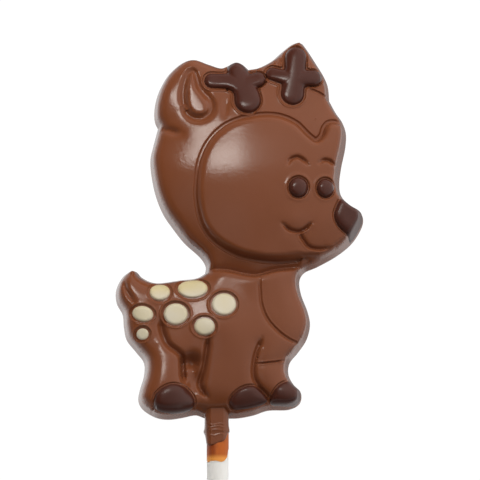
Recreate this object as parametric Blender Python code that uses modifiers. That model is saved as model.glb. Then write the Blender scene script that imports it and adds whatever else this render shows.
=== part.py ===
"""Moulded milk-chocolate fawn on a paper stick, lying on its flat back with the relief side up.

+X is to the figure's right as it is looked at, +Y runs from the stick up to the antlers, and +Z
points out of the relief. The origin is on the flat back, on the stick's axis, at the figure's
lower edge. Lengths in this script are millimetres, and MM turns them into metres.
"""

import math
from functools import partial

import bmesh
import bpy
import numpy as np
from mathutils import Matrix, Vector
from mathutils.geometry import delaunay_2d_cdt

MM = 0.001

# Fit between pieces
GAP = 0.3

# Stick: a rolled paper tube's outer size, its whole length and how far it runs up into the figure
STICK_RADIUS = 2.5
STICK_LENGTH = 130.0
STICK_INSIDE = 29.0
STICK_AXIS_Z = 3.5
STICK_EDGE = 0.25

# Collar of chocolate that ran down the stick
COLLAR_RADIUS = 3.2
COLLAR_END_LEFT = -7.6
COLLAR_END_RIGHT = -6.2
COLLAR_INSIDE = 3.0
ROUND_SIDES = 32

# Side wall of the mould: its upright foot, the height of its steep part as a share of the relief, its
# lean inwards and the width of the rounding above it
WALL_FOOT = 0.3
WALL_SHARE = 0.66
WALL_LEAN = 0.7
EDGE_ROUNDING = 2.4

# The body swells like pillows between its creases: height of the crease line, rise and reach
BODY_LEVEL = (7.1, 1.9, 6.0)

# The head rises from its outline towards the face: height at the border, steady slope, height and
# reach of the rounder part next to the border, and its fall above and below its middle
HOOD_BASE = 7.0
HOOD_SLOPE = 0.19
HOOD_RISE = 1.2
HOOD_REACH = 4.0
HOOD_FALL = 1.6
HOOD_FALL_REACH = 18.0
HOOD_MIDDLE = 50.0

# The face is a low dome: centre, height, falls per square millimetre to the left, right, top and
# bottom, how far its border lies under the head, and the reach of its rounded rim
FACE_CENTRE = (11.0, 52.0)
FACE_HEIGHT = 12.3
FACE_FALL_LEFT = 0.008
FACE_FALL_RIGHT = 0.0055
FACE_FALL_TOP = 0.0068
FACE_FALL_BOTTOM = 0.0075
FACE_RIM_START = 0.3
FACE_RIM_DROP = 0.45
FACE_RIM_REACH = 2.0
FACE_BLEND = 1.0
NECK_BLEND = 1.6

# Coloured chocolate is cast into pockets of this depth below their rims, or down to this height
POCKET_DEPTH = 1.0
ANTLER_POCKET_FLOOR = 3.4
CUTTER_TOP = 20.0
BORE_START = -30.0

# Mesh: spacing along the outline, the creases, in the open surface, along the lines that distances
# are measured from and along the inlays, and how much of its offset a ring's point has to keep
OUTLINE_STEP = 1.35
CREASE_STEP = 1.05
OPEN_STEP = 1.7
BORDER_STEP = 0.7
INLAY_STEP = 0.9
LIMB_STEP = 1.0
LONGEST_JOIN = 1.9
KEPT_OFFSET = 0.85
SHORTEST_EDGE = 0.1

# Rings of points: how far inside the outline and how far apart, on both sides of an inlay's edge,
# on the banks of a crease as a share of its half-width, and in the open surface
WALL_RINGS = ((0.7, 0.5), (1.2, 0.42))
ROUNDING_RING = (2.1, 0.75)
INLAY_RINGS = (0.75, -0.55, -1.2)
INLAY_APART = 0.4
RING_CLEARANCE = 0.2
CREASE_APART = 0.45
BANK = 1.15
BANK_APART = 0.6
OPEN_INSET = 1.2
OPEN_APART = 1.22

# The outer edge runs clockwise through these points. A stretch marked True starts at a sharp notch
# or tip, and the others carry on smoothly.
EDGE = (
    (True, "back of the head", ((-3.0, 32.6), (-2.9, 34.3), (-4.3, 36.5), (-7.8, 39.7), (-10.5, 43.1),
        (-12.9, 46.7), (-14.6, 51.0), (-15.6, 55.7), (-15.85, 59.5), (-15.2, 62.6))),
    (True, "ear", ((-14.1, 66.8), (-14.8, 68.3), (-15.0, 70.5), (-14.6, 73.4), (-13.6, 76.3),
        (-11.6, 79.7), (-8.4, 82.5), (-5.4, 83.2), (-2.3, 82.2), (0.6, 81.3))),
    (False, "prong of the left antler", ((2.2, 81.8), (4.2, 82.5), (6.0, 81.9))),
    (True, "slope to the right ear", ((7.1, 80.9), (9.6, 81.4), (12.6, 83.0), (15.0, 85.1), (17.3, 86.9))),
    (True, "right ear", ((19.4, 87.6), (20.9, 85.6), (23.0, 82.3), (24.8, 79.3), (25.8, 76.7))),
    (True, "forehead", ((26.1, 73.4), (27.6, 70.6), (29.1, 68.4), (30.0, 65.6), (29.8, 62.1),
        (28.9, 57.8), (28.4, 53.9))),
    (False, "muzzle and chin", ((28.8, 51.0), (30.9, 48.6), (33.2, 47.1), (33.95, 45.3), (33.4, 43.0),
        (31.2, 39.6), (27.7, 36.7), (23.3, 34.2))),
    (False, "throat and chest", ((20.2, 32.8), (19.0, 30.8), (19.4, 27.6), (20.9, 23.6), (21.45, 20.4),
        (20.6, 17.0), (18.6, 14.0))),
    (False, "front legs", ((16.7, 11.6), (16.4, 9.0), (17.5, 6.7), (19.3, 4.7), (19.0, 2.1),
        (16.4, 0.7), (11.7, 0.5), (8.3, -0.6), (5.0, -1.25))),
    (False, "below the belly", ((2.6, -1.35), (-0.2, -1.3), (-2.9, -1.3), (-5.2, -0.6))),
    (False, "hind leg", ((-8.6, -1.25), (-11.6, -1.6), (-14.5, -1.1), (-17.4, 0.7), (-18.5, 2.8),
        (-18.1, 5.4), (-17.2, 8.6), (-17.2, 11.6), (-19.0, 14.1), (-21.2, 16.9), (-21.9, 19.9))),
    (False, "tail", ((-22.2, 22.9), (-23.6, 25.6), (-23.75, 28.6), (-22.4, 31.5), (-20.4, 33.1),
        (-19.0, 33.0), (-17.8, 31.7))),
    (False, "back", ((-15.6, 30.6), (-13.2, 30.4), (-9.0, 31.0), (-5.0, 31.5))),
)

# Creases that part the pillows: name, depth, half-width and the points of a smooth line. A crease
# fades out over its last stretch, down to a share of its depth.
CREASE_FADE = 2.0
CREASE_END = 0.25
CREASES = (
    ("face, round to the brow", 0.45, 0.6, ((18.4, 34.5), (14.0, 34.0), (9.0, 34.3), (4.0, 35.6),
        (-1.0, 38.6), (-4.1, 42.7), (-5.4, 48.0), (-5.45, 53.0), (-4.6, 58.4), (-2.4, 62.9), (1.0, 66.3),
        (5.0, 68.2), (10.0, 69.2), (14.5, 69.0), (18.5, 67.3), (21.2, 64.7), (22.8, 63.4))),
    ("face, right of the brow", 0.45, 0.6, ((22.8, 63.4), (23.6, 64.4), (24.2, 66.2), (25.4, 67.6),
        (27.4, 67.9), (29.6, 67.2))),
    ("neck", 0.9, 0.8, ((-3.2, 32.3), (-0.5, 32.5), (2.5, 32.3), (6.0, 31.5), (9.0, 31.2), (13.5, 32.4),
        (18.6, 33.0))),
    ("belly and near front leg", 1.0, 0.8, ((-2.2, 16.6), (-2.7, 12.8), (-3.3, 9.4), (-4.2, 6.2), (-3.5, 4.2),
        (-2.4, 3.0))),
    ("between the front legs", 1.1, 0.8, ((10.2, 16.4), (9.0, 13.6), (8.3, 10.6), (8.3, 7.6), (9.4, 5.5),
        (11.6, 3.2), (12.0, 1.6))),
    ("haunch", 1.1, 0.8, ((-13.2, 21.0), (-12.9, 18.4), (-11.6, 15.2), (-9.2, 13.2), (-8.1, 11.6),
        (-7.9, 8.4), (-7.7, 6.2))),
)

# Lines drawn into the surface without parting it, in the same form
LINES = (
    ("bib", 0.5, 0.5, ((9.7, 30.4), (9.8, 27.4), (10.1, 24.4), (11.4, 21.0), (14.0, 18.0), (16.6, 16.2),
        (19.4, 15.0))),
    ("knee", 0.7, 0.5, ((8.6, 10.5), (12.0, 10.8), (15.8, 11.5))),
    ("inside of the tail", 0.8, 0.6, ((-21.8, 30.2), (-21.2, 28.0), (-20.2, 26.2), (-19.4, 25.0))),
    ("foot of the ear", 0.8, 0.9, ((-14.2, 66.2), (-11.6, 65.4), (-8.6, 64.4))),
    ("ear against the antler", 0.35, 0.7, ((2.0, 72.8), (1.9, 70.6), (1.5, 68.4))),
    ("forehead tuft", 0.55, 0.55, ((20.9, 75.3), (23.4, 74.5), (26.0, 73.0))),
    ("left brow", 0.5, 0.42, ((16.3, 57.0), (16.9, 58.1), (18.3, 58.6), (19.7, 58.0), (20.9, 56.8))),
    ("right brow", 0.5, 0.42, ((23.5, 57.2), (24.4, 57.9), (25.6, 57.9), (26.8, 57.1), (27.7, 56.3))),
    ("smile", 0.75, 0.5, ((14.9, 42.8), (16.6, 41.5), (18.5, 41.1), (20.2, 41.7), (21.7, 43.1))),
    ("lower lip", 0.6, 0.5, ((18.9, 41.0), (19.4, 39.7), (21.0, 37.7), (23.4, 37.2), (26.2, 37.6))),
)

# Raised and sunken areas: name, closed smooth outline, rise, reach of the slope inside the outline
AREAS = (
    ("bowl of the ear", ((-9.4, 70.5), (-9.6, 73.5), (-9.2, 76.5), (-8.2, 78.7), (-6.6, 79.9), (-5.2, 79.5),
        (-4.6, 78.2), (-4.3, 76.6), (-3.7, 75.3), (-2.2, 73.9), (-0.9, 72.5), (-0.5, 70.9), (-0.8, 69.2),
        (-2.1, 67.6), (-4.4, 66.7), (-7.0, 67.2), (-8.7, 68.7)), -0.9, 1.5),
    ("mound in the ear", ((-6.6, 78.4), (-5.6, 77.0), (-5.0, 75.2), (-4.2, 73.6), (-3.0, 72.0), (-2.3, 70.2),
        (-2.6, 68.7), (-3.8, 67.9), (-5.4, 67.9), (-6.8, 68.9), (-7.7, 70.4), (-8.0, 72.4), (-7.9, 74.6),
        (-7.5, 76.8)), 1.1, 2.0),
)

# Hollows and swellings of the surface: name, centre, radii and height
SWELLINGS = (
    ("recess before the far hind leg", (-6.3, 11.6), (2.0, 1.6), -1.3),
    ("far hind leg", (-6.2, 7.6), (1.6, 3.4), -0.7),
    ("cheek", (17.2, 44.0), (3.2, 2.4), 0.25),
    ("muzzle", (26.5, 43.5), (4.5, 4.0), 0.35),
)

# Round inlays: name, centre, radii, turn in degrees, how far the dome stands up, and colour
ROUND_INLAYS = (
    ("spot_rump", (-13.4, 27.4), (2.3, 1.95), 0.0, 0.35, "white"),
    ("spot_back", (-5.8, 28.2), (3.4, 2.2), 0.0, 0.4, "white"),
    ("spot_shoulder", (1.45, 24.5), (2.8, 2.6), 0.0, 0.4, "white"),
    ("spot_flank", (-9.7, 22.3), (2.75, 2.5), 0.0, 0.4, "white"),
    ("spot_belly", (-3.05, 19.2), (2.35, 2.0), -8.0, 0.4, "white"),
    ("spot_thigh", (-17.3, 22.4), (2.4, 1.8), -12.0, 0.35, "white"),
    ("spot_small", (-17.35, 17.6), (1.38, 1.3), 0.0, 0.3, "white"),
    ("eye_left", (18.9, 51.6), (2.2, 2.3), 0.0, 0.9, "dark"),
    ("eye_right", (25.2, 51.5), (2.05, 2.25), 0.0, 0.9, "dark"),
)

# Inlays at the figure's edge: name, smooth clockwise outline, dome, height of the pocket's floor
EDGE_INLAYS = (
    ("nose", ((33.0, 50.2), (36.4, 46.0), (36.0, 41.0), (31.9, 38.9), (30.1, 40.5), (28.0, 42.4),
        (27.0, 44.5), (27.4, 46.6), (28.9, 49.0)), 0.9, 1.2),
    ("hoof_front", ((12.3, 2.9), (13.8, 5.2), (15.8, 6.4), (18.2, 6.6), (21.4, 4.6), (20.6, 1.6),
        (17.4, 1.2), (14.0, 1.2), (12.2, 1.6)), 0.8, 1.2),
    ("hoof_middle", ((2.7, 2.0), (4.2, 4.0), (6.4, 5.2), (8.6, 5.3), (10.3, 4.0), (11.5, 2.2),
        (9.4, 1.0), (6.0, 0.3), (3.4, 0.3)), 0.8, 3.0),
    ("hoof_hind", ((-14.7, 1.2), (-14.2, 3.4), (-12.2, 5.1), (-9.9, 5.7), (-7.3, 4.9), (-5.5, 2.6),
        (-5.8, 0.6), (-8.5, -0.5), (-11.8, -0.6), (-14.0, 0.0)), 0.9, 3.0),
)

# Antlers: limbs of round chocolate, each a path of (x, y, half-width)
ANTLERS = (
    ("antler_left", (
        ((-1.4, 77.1, 1.8), (2.6, 76.9, 1.85), (5.3, 75.6, 2.2), (6.6, 73.8, 2.7), (6.9, 72.2, 3.0)),
        ((4.4, 79.9, 2.2), (5.4, 77.4, 2.2), (6.3, 74.5, 2.4)),
        ((9.3, 77.4, 1.7), (7.2, 76.6, 1.8), (6.4, 74.5, 2.0)),
    )),
    ("antler_right", (
        ((18.1, 82.7, 2.5), (17.9, 78.6, 2.45), (17.3, 73.9, 2.7)),
        ((12.7, 78.8, 1.6), (16.0, 77.7, 1.7)),
        ((22.3, 77.8, 1.8), (19.5, 77.7, 1.9)),
    )),
)
ANTLER_DOME = 1.5
FORK_SOFTNESS = 0.25

# How far in from its edge an inlay's dome reaches its full height, as a share of a round inlay's
# radius and in the others' own size, and the furrow that runs round each inlay
ROUND_DOME_REACH = 0.7
EDGE_DOME_REACH = 2.2
ANTLER_DOME_REACH = 1.9
MOAT_DEPTH = 0.55
MOAT_WIDTH = 0.42

SURFACES = {
    "milk": ("Milk chocolate", (0.19, 0.07, 0.035), 0.3),
    "white": ("White chocolate", (0.66, 0.57, 0.41), 0.35),
    "dark": ("Dark chocolate", (0.075, 0.03, 0.024), 0.28),
    "paper": ("White paper", (0.78, 0.76, 0.73), 0.6),
}


def smooth_path(points, step, closed=False):
    """A polyline of nearly even steps on the smooth curve through the points (Catmull-Rom)."""
    knots = np.array(points, float)
    if closed:
        knots = np.vstack([knots[-1], knots, knots[0], knots[1]])
    else:
        knots = np.vstack([2 * knots[0] - knots[1], knots, 2 * knots[-1] - knots[-2]])
    fine = []
    for a, b, c, d in zip(knots[:-3], knots[1:-2], knots[2:-1], knots[3:]):
        t = np.linspace(0, 1, 24, endpoint=False)[:, None]
        bend = (2 * a - 5 * b + 4 * c - d) * t**2 + (3 * b - a - 3 * c + d) * t**3
        fine.append(0.5 * (2 * b + (c - a) * t + bend))
    fine.append(knots[-2][None])
    fine = np.vstack(fine)
    run = np.concatenate([[0], np.cumsum(np.linalg.norm(np.diff(fine[:, :2], axis=0), axis=1))])
    count = max(2, round(run[-1] / step)) + 1
    stops = np.linspace(0, run[-1], count)
    path = np.stack([np.interp(stops, run, column) for column in fine.T], axis=1)
    return path[:-1] if closed else path


def edge_stretches():
    """The outer edge as runs between its sharp points, each ending where the next one starts."""
    runs = []
    for sharp, _, points in EDGE:
        if sharp:
            runs.append([])
        runs[-1].extend(points)
    for run, following in zip(runs, runs[1:] + runs[:1]):
        run.append(following[0])
    return runs


def outer_edge(step):
    """The closed outline of the figure's flat back."""
    return np.vstack([smooth_path(run, step)[:-1] for run in edge_stretches()])


def nearest_on(path, points, closed=False):
    """Distance of each point to a polyline, and how far along the line its nearest point lies."""
    ends = np.roll(path, -1, axis=0) if closed else path[1:]
    starts = path if closed else path[:-1]
    nearest = np.full(len(points), np.inf)
    run = np.zeros(len(points))
    done = 0.0
    for a, b in zip(starts[:, :2], ends[:, :2]):
        along = b - a
        length = np.linalg.norm(along)
        t = np.clip((points - a) @ along / length**2, 0, 1)
        distance = np.linalg.norm(points - a - t[:, None] * along, axis=1)
        closer = distance < nearest
        nearest[closer] = distance[closer]
        run[closer] = done + t[closer] * length
        done += length
    return nearest, run, done


def inside_of(path, points):
    """True for each point that lies inside a closed polyline."""
    inside = np.zeros(len(points), bool)
    for a, b in zip(path, np.roll(path, -1, axis=0)):
        crosses = (a[1] > points[:, 1]) != (b[1] > points[:, 1])
        x = a[0] + (points[:, 1] - a[1]) * (b[0] - a[0]) / (b[1] - a[1] + 1e-12)
        inside ^= crosses & (points[:, 0] < x)
    return inside


def depth_inside(path, points):
    """Signed distance to a closed outline, positive inside."""
    return np.where(inside_of(path, points), 1, -1) * nearest_on(path, points, closed=True)[0]


def rounded_distance(paths, points):
    """A smooth stand-in for the distance to many lines, without the ridges halfway between them."""
    total = np.full(len(points), 1e-9)
    for path in paths:
        middles = (path[1:, :2] + path[:-1, :2]) / 2
        lengths = np.linalg.norm(np.diff(path[:, :2], axis=0), axis=1)
        for middle, length in zip(middles, lengths):
            total += length / (np.sum((points - middle) ** 2, axis=1) + 0.05) ** 2.5
    return (0.75 * total) ** -0.25


def ellipse(centre, radii, turn, count, grow=0.0):
    """Points round an ellipse that is widened by grow."""
    angle = np.linspace(0, 2 * math.pi, count, endpoint=False)
    x = (radii[0] + grow) * np.cos(angle)
    y = (radii[1] + grow) * np.sin(angle)
    c = math.cos(math.radians(turn))
    s = math.sin(math.radians(turn))
    return np.stack([centre[0] + c * x - s * y, centre[1] + s * x + c * y], axis=1)


def ellipse_depth(centre, radii, turn, points):
    """About the signed distance to an ellipse, positive inside."""
    c = math.cos(math.radians(turn))
    s = math.sin(math.radians(turn))
    x = (points[:, 0] - centre[0]) * c + (points[:, 1] - centre[1]) * s
    y = (points[:, 1] - centre[1]) * c - (points[:, 0] - centre[0]) * s
    size = np.sqrt((x / radii[0]) ** 2 + (y / radii[1]) ** 2)
    return (1 - size) * math.sqrt(radii[0] * radii[1])


def limb_depth(limb, points):
    """Signed distance to a limb of changing half-width, positive inside."""
    path = smooth_path(limb, LIMB_STEP / 2)
    deepest = np.full(len(points), -np.inf)
    for x, y, half_width in path:
        reach = half_width - np.hypot(points[:, 0] - x, points[:, 1] - y)
        deepest = np.maximum(deepest, reach)
    return deepest


def antler_depth(limbs, points):
    """Signed distance to a whole antler, with soft forks."""
    total = sum(np.exp(limb_depth(limb, points) / FORK_SOFTNESS) for limb in limbs)
    return FORK_SOFTNESS * np.log(total)


def offset_ring(path, depth):
    """The closed outline moved inwards, without the points that a notch would fold over."""
    ahead = np.roll(path, -1, axis=0) - np.roll(path, 1, axis=0)
    ahead /= np.linalg.norm(ahead, axis=1)[:, None]
    ring = path + depth * np.stack([ahead[:, 1], -ahead[:, 0]], axis=1)
    return ring[depth_inside(path, ring) > KEPT_OFFSET * depth]


def dome(depth, reach):
    """0 at a form's edge, rising round to 1 at the reach."""
    t = np.clip(depth / reach, 0, 1)
    return np.sqrt(np.clip(1 - (1 - t) ** 2, 0, 1))


def smooth_step(share):
    """0 below 0, 1 above 1, with a smooth rise between."""
    t = np.clip(share, 0, 1)
    return t * t * (3 - 2 * t)


def pillow(distance, level):
    """A soft pillow's height at a distance from the nearest crease."""
    base, rise, reach = level
    t = np.clip(distance / reach, 0, 1)
    return base + rise * (1 - (1 - t) ** 2)


def groove(path, depth, half_width, points):
    """A rounded furrow along a line, fading out at its ends."""
    distance, run, length = nearest_on(path, points)
    share = np.clip(np.minimum(run, length - run) / CREASE_FADE + CREASE_END, 0, 1)
    return -depth * share * np.exp(-((distance / half_width) ** 2))


def moat(depth_in):
    """The narrow furrow in which an inlay ends."""
    return -MOAT_DEPTH * np.exp(-((depth_in / MOAT_WIDTH) ** 2))


class Figure:
    """The figure's lines, laid out once, and the height of its relief over the flat back."""

    def __init__(self):
        self.edge = outer_edge(OUTLINE_STEP)
        self.creases = [smooth_path(points, CREASE_STEP) for _, _, _, points in CREASES]
        self.lines = [smooth_path(points, CREASE_STEP) for _, _, _, points in LINES]
        self.areas = [smooth_path(row[1], CREASE_STEP, closed=True) for row in AREAS]
        around_face, right_of_brow, self.neck = self.creases[:3]
        fine_edge = outer_edge(BORDER_STEP)
        borders = [smooth_path(row[-1], BORDER_STEP) for row in CREASES]
        self.body_borders = [np.vstack([fine_edge, fine_edge[:1]])] + borders
        below = fine_edge[:, 1] < np.interp(fine_edge[:, 0], *self.neck.T)
        self.head_borders = [fine_edge[: int(np.argmax(below))], borders[2]]
        throat, brow = around_face[0], right_of_brow[-1]
        x, y = self.edge.T
        beside_face = (x > throat[0]) & (y > throat[1]) & (y < brow[1])
        self.face = np.vstack([around_face, right_of_brow[1:], self.edge[beside_face]])

    def hood(self, points):
        """Height of the head outside the face."""
        distance = rounded_distance(self.head_borders, points)
        rise = HOOD_SLOPE * distance + HOOD_RISE * (1 - np.exp(-distance / HOOD_REACH))
        away = (points[:, 1] - HOOD_MIDDLE) / HOOD_FALL_REACH
        return HOOD_BASE + rise - HOOD_FALL * (1 - np.exp(-away**2))

    def face_dome(self, points, hood):
        """Height of the face, whose rounded rim starts just under the head's level."""
        x = points[:, 0] - FACE_CENTRE[0]
        y = points[:, 1] - FACE_CENTRE[1]
        fall = np.where(x < 0, FACE_FALL_LEFT, FACE_FALL_RIGHT) * x**2
        fall += np.where(y > 0, FACE_FALL_TOP, FACE_FALL_BOTTOM) * y**2
        height = FACE_HEIGHT - fall
        t = np.clip((depth_inside(self.face, points) - FACE_RIM_START) / FACE_RIM_REACH, 0, 1)
        return height - (height - hood + FACE_RIM_DROP) * (1 - t) ** 2

    def relief(self, points):
        """Height of the moulded side at each point."""
        height = pillow(rounded_distance(self.body_borders, points), BODY_LEVEL)
        hood = self.hood(points)
        over_neck = points[:, 1] - np.interp(points[:, 0], *self.neck.T)
        height += (hood - height) * smooth_step(over_neck / NECK_BLEND + 0.5)
        in_face = smooth_step(depth_inside(self.face, points) / FACE_BLEND + 0.5)
        height += (self.face_dome(points, hood) - height) * in_face
        for (_, depth, half_width, _), path in zip(CREASES + LINES, self.creases + self.lines):
            height += groove(path, depth, half_width, points)
        for (_, _, rise, reach), path in zip(AREAS, self.areas):
            height += rise * smooth_step(depth_inside(path, points) / reach)
        for _, centre, radii, rise in SWELLINGS:
            reach = ((points - centre) / radii) ** 2
            height += rise * np.exp(-reach.sum(axis=1))
        height += self.inlay_domes(points)
        return np.maximum(height * self.wall(points), WALL_FOOT)

    def inlay_domes(self, points):
        """What the coloured inlays add to the surface, with their moats."""
        height = np.zeros(len(points))
        for _, centre, radii, turn, rise, _ in ROUND_INLAYS:
            depth = ellipse_depth(centre, radii, turn, points)
            height += rise * dome(depth, ROUND_DOME_REACH * radii[1]) + moat(depth)
        for _, outline, rise, _ in EDGE_INLAYS:
            depth = depth_inside(smooth_path(outline, INLAY_STEP, closed=True), points)
            height += rise * dome(depth, EDGE_DOME_REACH) + moat(depth)
        for _, limbs in ANTLERS:
            depth = antler_depth(limbs, points)
            height += ANTLER_DOME * dome(depth, ANTLER_DOME_REACH) + moat(depth)
        return height

    def wall(self, points):
        """Share of the full height that the side wall and the rounding above it reach."""
        depth = depth_inside(self.edge, points)
        steep = WALL_SHARE * np.clip(depth / WALL_LEAN, 0, 1)
        return steep + (1 - WALL_SHARE) * dome(depth - WALL_LEAN, EDGE_ROUNDING)

    def surface_net(self):
        """Points that carry the relief, dense along edges and creases, and the lines that join them."""
        count = len(self.edge)
        kept = [self.edge]
        joined = [(i, (i + 1) % count) for i in range(count)]

        def add(candidates, apart, in_line=True):
            """Keeps the points that stand clear of those before them, and joins those that follow on."""
            before = None
            for candidate in candidates[:, :2]:
                placed = np.vstack(kept)
                clear = np.min(np.sum((placed - candidate) ** 2, axis=1)) > apart**2
                if clear:
                    kept.append(candidate[None])
                    if before is not None and np.linalg.norm(placed[before] - candidate) < LONGEST_JOIN:
                        joined.append((before, len(placed)))
                before = len(placed) if clear and in_line else None

        for depth, apart in WALL_RINGS:
            add(offset_ring(self.edge, depth), apart)
        for ring in self.inlay_rings():
            add(ring, INLAY_APART)
        for (_, _, half_width, _), path in zip(CREASES + LINES, self.creases + self.lines):
            add(path, CREASE_APART)
            for side in (BANK, -BANK):
                add(beside(path, side * half_width), BANK_APART)
        for path in self.areas:
            add(path, CREASE_APART)
        add(offset_ring(self.edge, ROUNDING_RING[0]), ROUNDING_RING[1])
        low = self.edge.min(axis=0)
        high = self.edge.max(axis=0)
        rows = np.arange(low[1], high[1], OPEN_STEP * math.sin(math.pi / 3))
        for number, y in enumerate(rows):
            x = np.arange(low[0] + OPEN_STEP / 2 * (number % 2), high[0], OPEN_STEP)
            row = np.stack([x, np.full(len(x), y)], axis=1)
            add(row[depth_inside(self.edge, row) > OPEN_INSET], OPEN_APART, in_line=False)
        return np.vstack(kept), joined

    def inlay_rings(self):
        """Rings of points on both sides of each inlay's boundary."""
        for _, centre, radii, turn, _, _ in ROUND_INLAYS:
            for grow in INLAY_RINGS:
                count = round(math.pi * (radii[0] + radii[1] + 2 * grow) / INLAY_STEP)
                yield ellipse(centre, radii, turn, max(6, count), grow)
        for _, outline, _, _ in EDGE_INLAYS:
            path = smooth_path(outline, LIMB_STEP, closed=True)
            for grow in INLAY_RINGS:
                ring = offset_ring(path, -grow) if grow < 0 else beside(path, -grow)
                yield ring[depth_inside(self.edge, ring) > WALL_LEAN + RING_CLEARANCE]
        for _, limbs in ANTLERS:
            for limb in limbs:
                path = smooth_path(limb, LIMB_STEP)
                for grow in INLAY_RINGS:
                    ring = limb_ring(path, grow)
                    outermost = np.abs(antler_depth(limbs, ring) + grow) < FORK_SOFTNESS
                    yield ring[outermost & (depth_inside(self.edge, ring) > WALL_LEAN + RING_CLEARANCE)]


def beside(path, offset):
    """An open line moved to its side by the offset."""
    ahead = np.gradient(path[:, :2], axis=0)
    ahead /= np.linalg.norm(ahead, axis=1)[:, None]
    return path[:, :2] + offset * np.stack([ahead[:, 1], -ahead[:, 0]], axis=1)


def limb_ring(path, grow):
    """The outline of a limb with round ends, widened by grow."""
    sides = []
    for turned in (path, path[::-1]):
        ahead = np.gradient(turned[:, :2], axis=0)
        ahead /= np.linalg.norm(ahead, axis=1)[:, None]
        left = np.stack([-ahead[:, 1], ahead[:, 0]], axis=1)
        sides.append(turned[:, :2] + left * (turned[:, 2:] + grow))
        end = turned[-1, :2]
        radius = turned[-1, 2] + grow
        start_angle = math.atan2(left[-1, 1], left[-1, 0])
        angles = start_angle - np.linspace(0, math.pi, max(4, round(math.pi * radius / INLAY_STEP)))[1:-1]
        sides.append(end + radius * np.stack([np.cos(angles), np.sin(angles)], axis=1))
    return np.vstack(sides)


def material(kind):
    """A plain Principled material."""
    name, colour, roughness = SURFACES[kind]
    made = bpy.data.materials.new(name)
    made.use_nodes = True
    shader = made.node_tree.nodes["Principled BSDF"]
    shader.inputs["Base Color"].default_value = (*colour, 1)
    shader.inputs["Roughness"].default_value = roughness
    shader.inputs["Metallic"].default_value = 0
    made.diffuse_color = (*colour, 1)
    return made


def add_object(name, bm, collection, surface=None):
    """Turns a bmesh in millimetres into a named object in metres."""
    bmesh.ops.scale(bm, vec=(MM, MM, MM), verts=bm.verts)
    bmesh.ops.recalc_face_normals(bm, faces=bm.faces)
    mesh = bpy.data.meshes.new(name)
    bm.to_mesh(mesh)
    bm.free()
    made = bpy.data.objects.new(name, mesh)
    collection.objects.link(made)
    if surface:
        mesh.materials.append(surface)
    return made


def relief_blank(figure):
    """The whole figure as one closed solid: the relief over its flat back."""
    points, joined = figure.surface_net()
    placed, _, faces, *_ = delaunay_2d_cdt([Vector(p) for p in points], joined, [], 1, 1e-5)
    flat = np.array([tuple(p) for p in placed])
    bm = bmesh.new()
    verts = [bm.verts.new((x, y, z)) for (x, y), z in zip(flat, figure.relief(flat))]
    for face in faces:
        bm.faces.new([verts[i] for i in face])
    bmesh.ops.remove_doubles(bm, verts=bm.verts, dist=SHORTEST_EDGE)
    rim = [edge for edge in bm.edges if edge.is_boundary]
    foot = bmesh.ops.extrude_edge_only(bm, edges=rim)["geom"]
    for item in foot:
        if isinstance(item, bmesh.types.BMVert):
            item.co.z = 0
    back = bmesh.ops.holes_fill(bm, edges=[e for e in bm.edges if e.is_boundary], sides=0)["faces"]
    bmesh.ops.triangulate(bm, faces=back)
    return bm


def prism(outline, low, high):
    """A straight prism over a closed outline."""
    bm = bmesh.new()
    base = bm.faces.new([bm.verts.new((x, y, low)) for x, y in outline])
    top = bmesh.ops.extrude_face_region(bm, geom=[base])["geom"]
    moved = [item for item in top if isinstance(item, bmesh.types.BMVert)]
    bmesh.ops.translate(bm, vec=(0, 0, high - low), verts=moved)
    return bm


def apply_boolean(target, cutter, operation):
    """Applies one Boolean of a mesh object on another and keeps the result as the target's mesh."""
    step = target.modifiers.new(operation.title(), "BOOLEAN")
    step.operation = operation
    step.object = cutter
    step.solver = "EXACT"
    graph = bpy.context.evaluated_depsgraph_get()
    result = bpy.data.meshes.new_from_object(target.evaluated_get(graph))
    target.modifiers.remove(step)
    target.data = result


def stick_cylinder(name, radius, low_y, high_y, collection, surface=None):
    """A round bar along the stick's axis."""
    bm = bmesh.new()
    turn = Matrix.Rotation(math.pi / 2, 4, "X")
    bmesh.ops.create_cone(
        bm,
        cap_ends=True,
        segments=ROUND_SIDES,
        radius1=radius,
        radius2=radius,
        depth=high_y - low_y,
        matrix=Matrix.Translation((0, (low_y + high_y) / 2, STICK_AXIS_Z)) @ turn,
    )
    return add_object(name, bm, collection, surface)


def make_stick(collection, surface):
    """The paper stick, with the edge of its free end just broken."""
    free_end = STICK_INSIDE - STICK_LENGTH
    stick = stick_cylinder("stick", STICK_RADIUS, free_end, STICK_INSIDE, collection, surface)
    bevel = stick.modifiers.new("Broken edge", "BEVEL")
    bevel.width = STICK_EDGE * MM
    bevel.segments = 1
    bevel.angle_limit = math.radians(60)


def add_collar(body, cutters):
    """Fuses the collar round the stick to the figure, with its slanted lower edge."""
    collar = stick_cylinder("collar blank", COLLAR_RADIUS, COLLAR_END_LEFT, COLLAR_INSIDE, cutters)
    slant = (COLLAR_END_RIGHT - COLLAR_END_LEFT) / (2 * COLLAR_RADIUS)
    for vert in collar.data.vertices:
        if vert.co.y < 0:
            vert.co.y += slant * (vert.co.x + COLLAR_RADIUS * MM)
    apply_boolean(body, collar, "UNION")
    bpy.data.objects.remove(collar)


def hide(cutter):
    """Keeps a cutter out of the renders."""
    cutter.hide_render = True
    cutter.display_type = "WIRE"


def round_outlines(centre, radii, turn, count, grow):
    """The outline of a round inlay, widened by grow."""
    return [ellipse(centre, radii, turn, count, grow)]


def edge_outlines(path, grow):
    """The outline of an inlay at the figure's edge, widened by grow."""
    return [beside_closed(path, grow)]


def limb_outlines(paths, grow):
    """The outlines of an antler's limbs, widened by grow."""
    return [limb_ring(path, grow) for path in paths]


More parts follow.
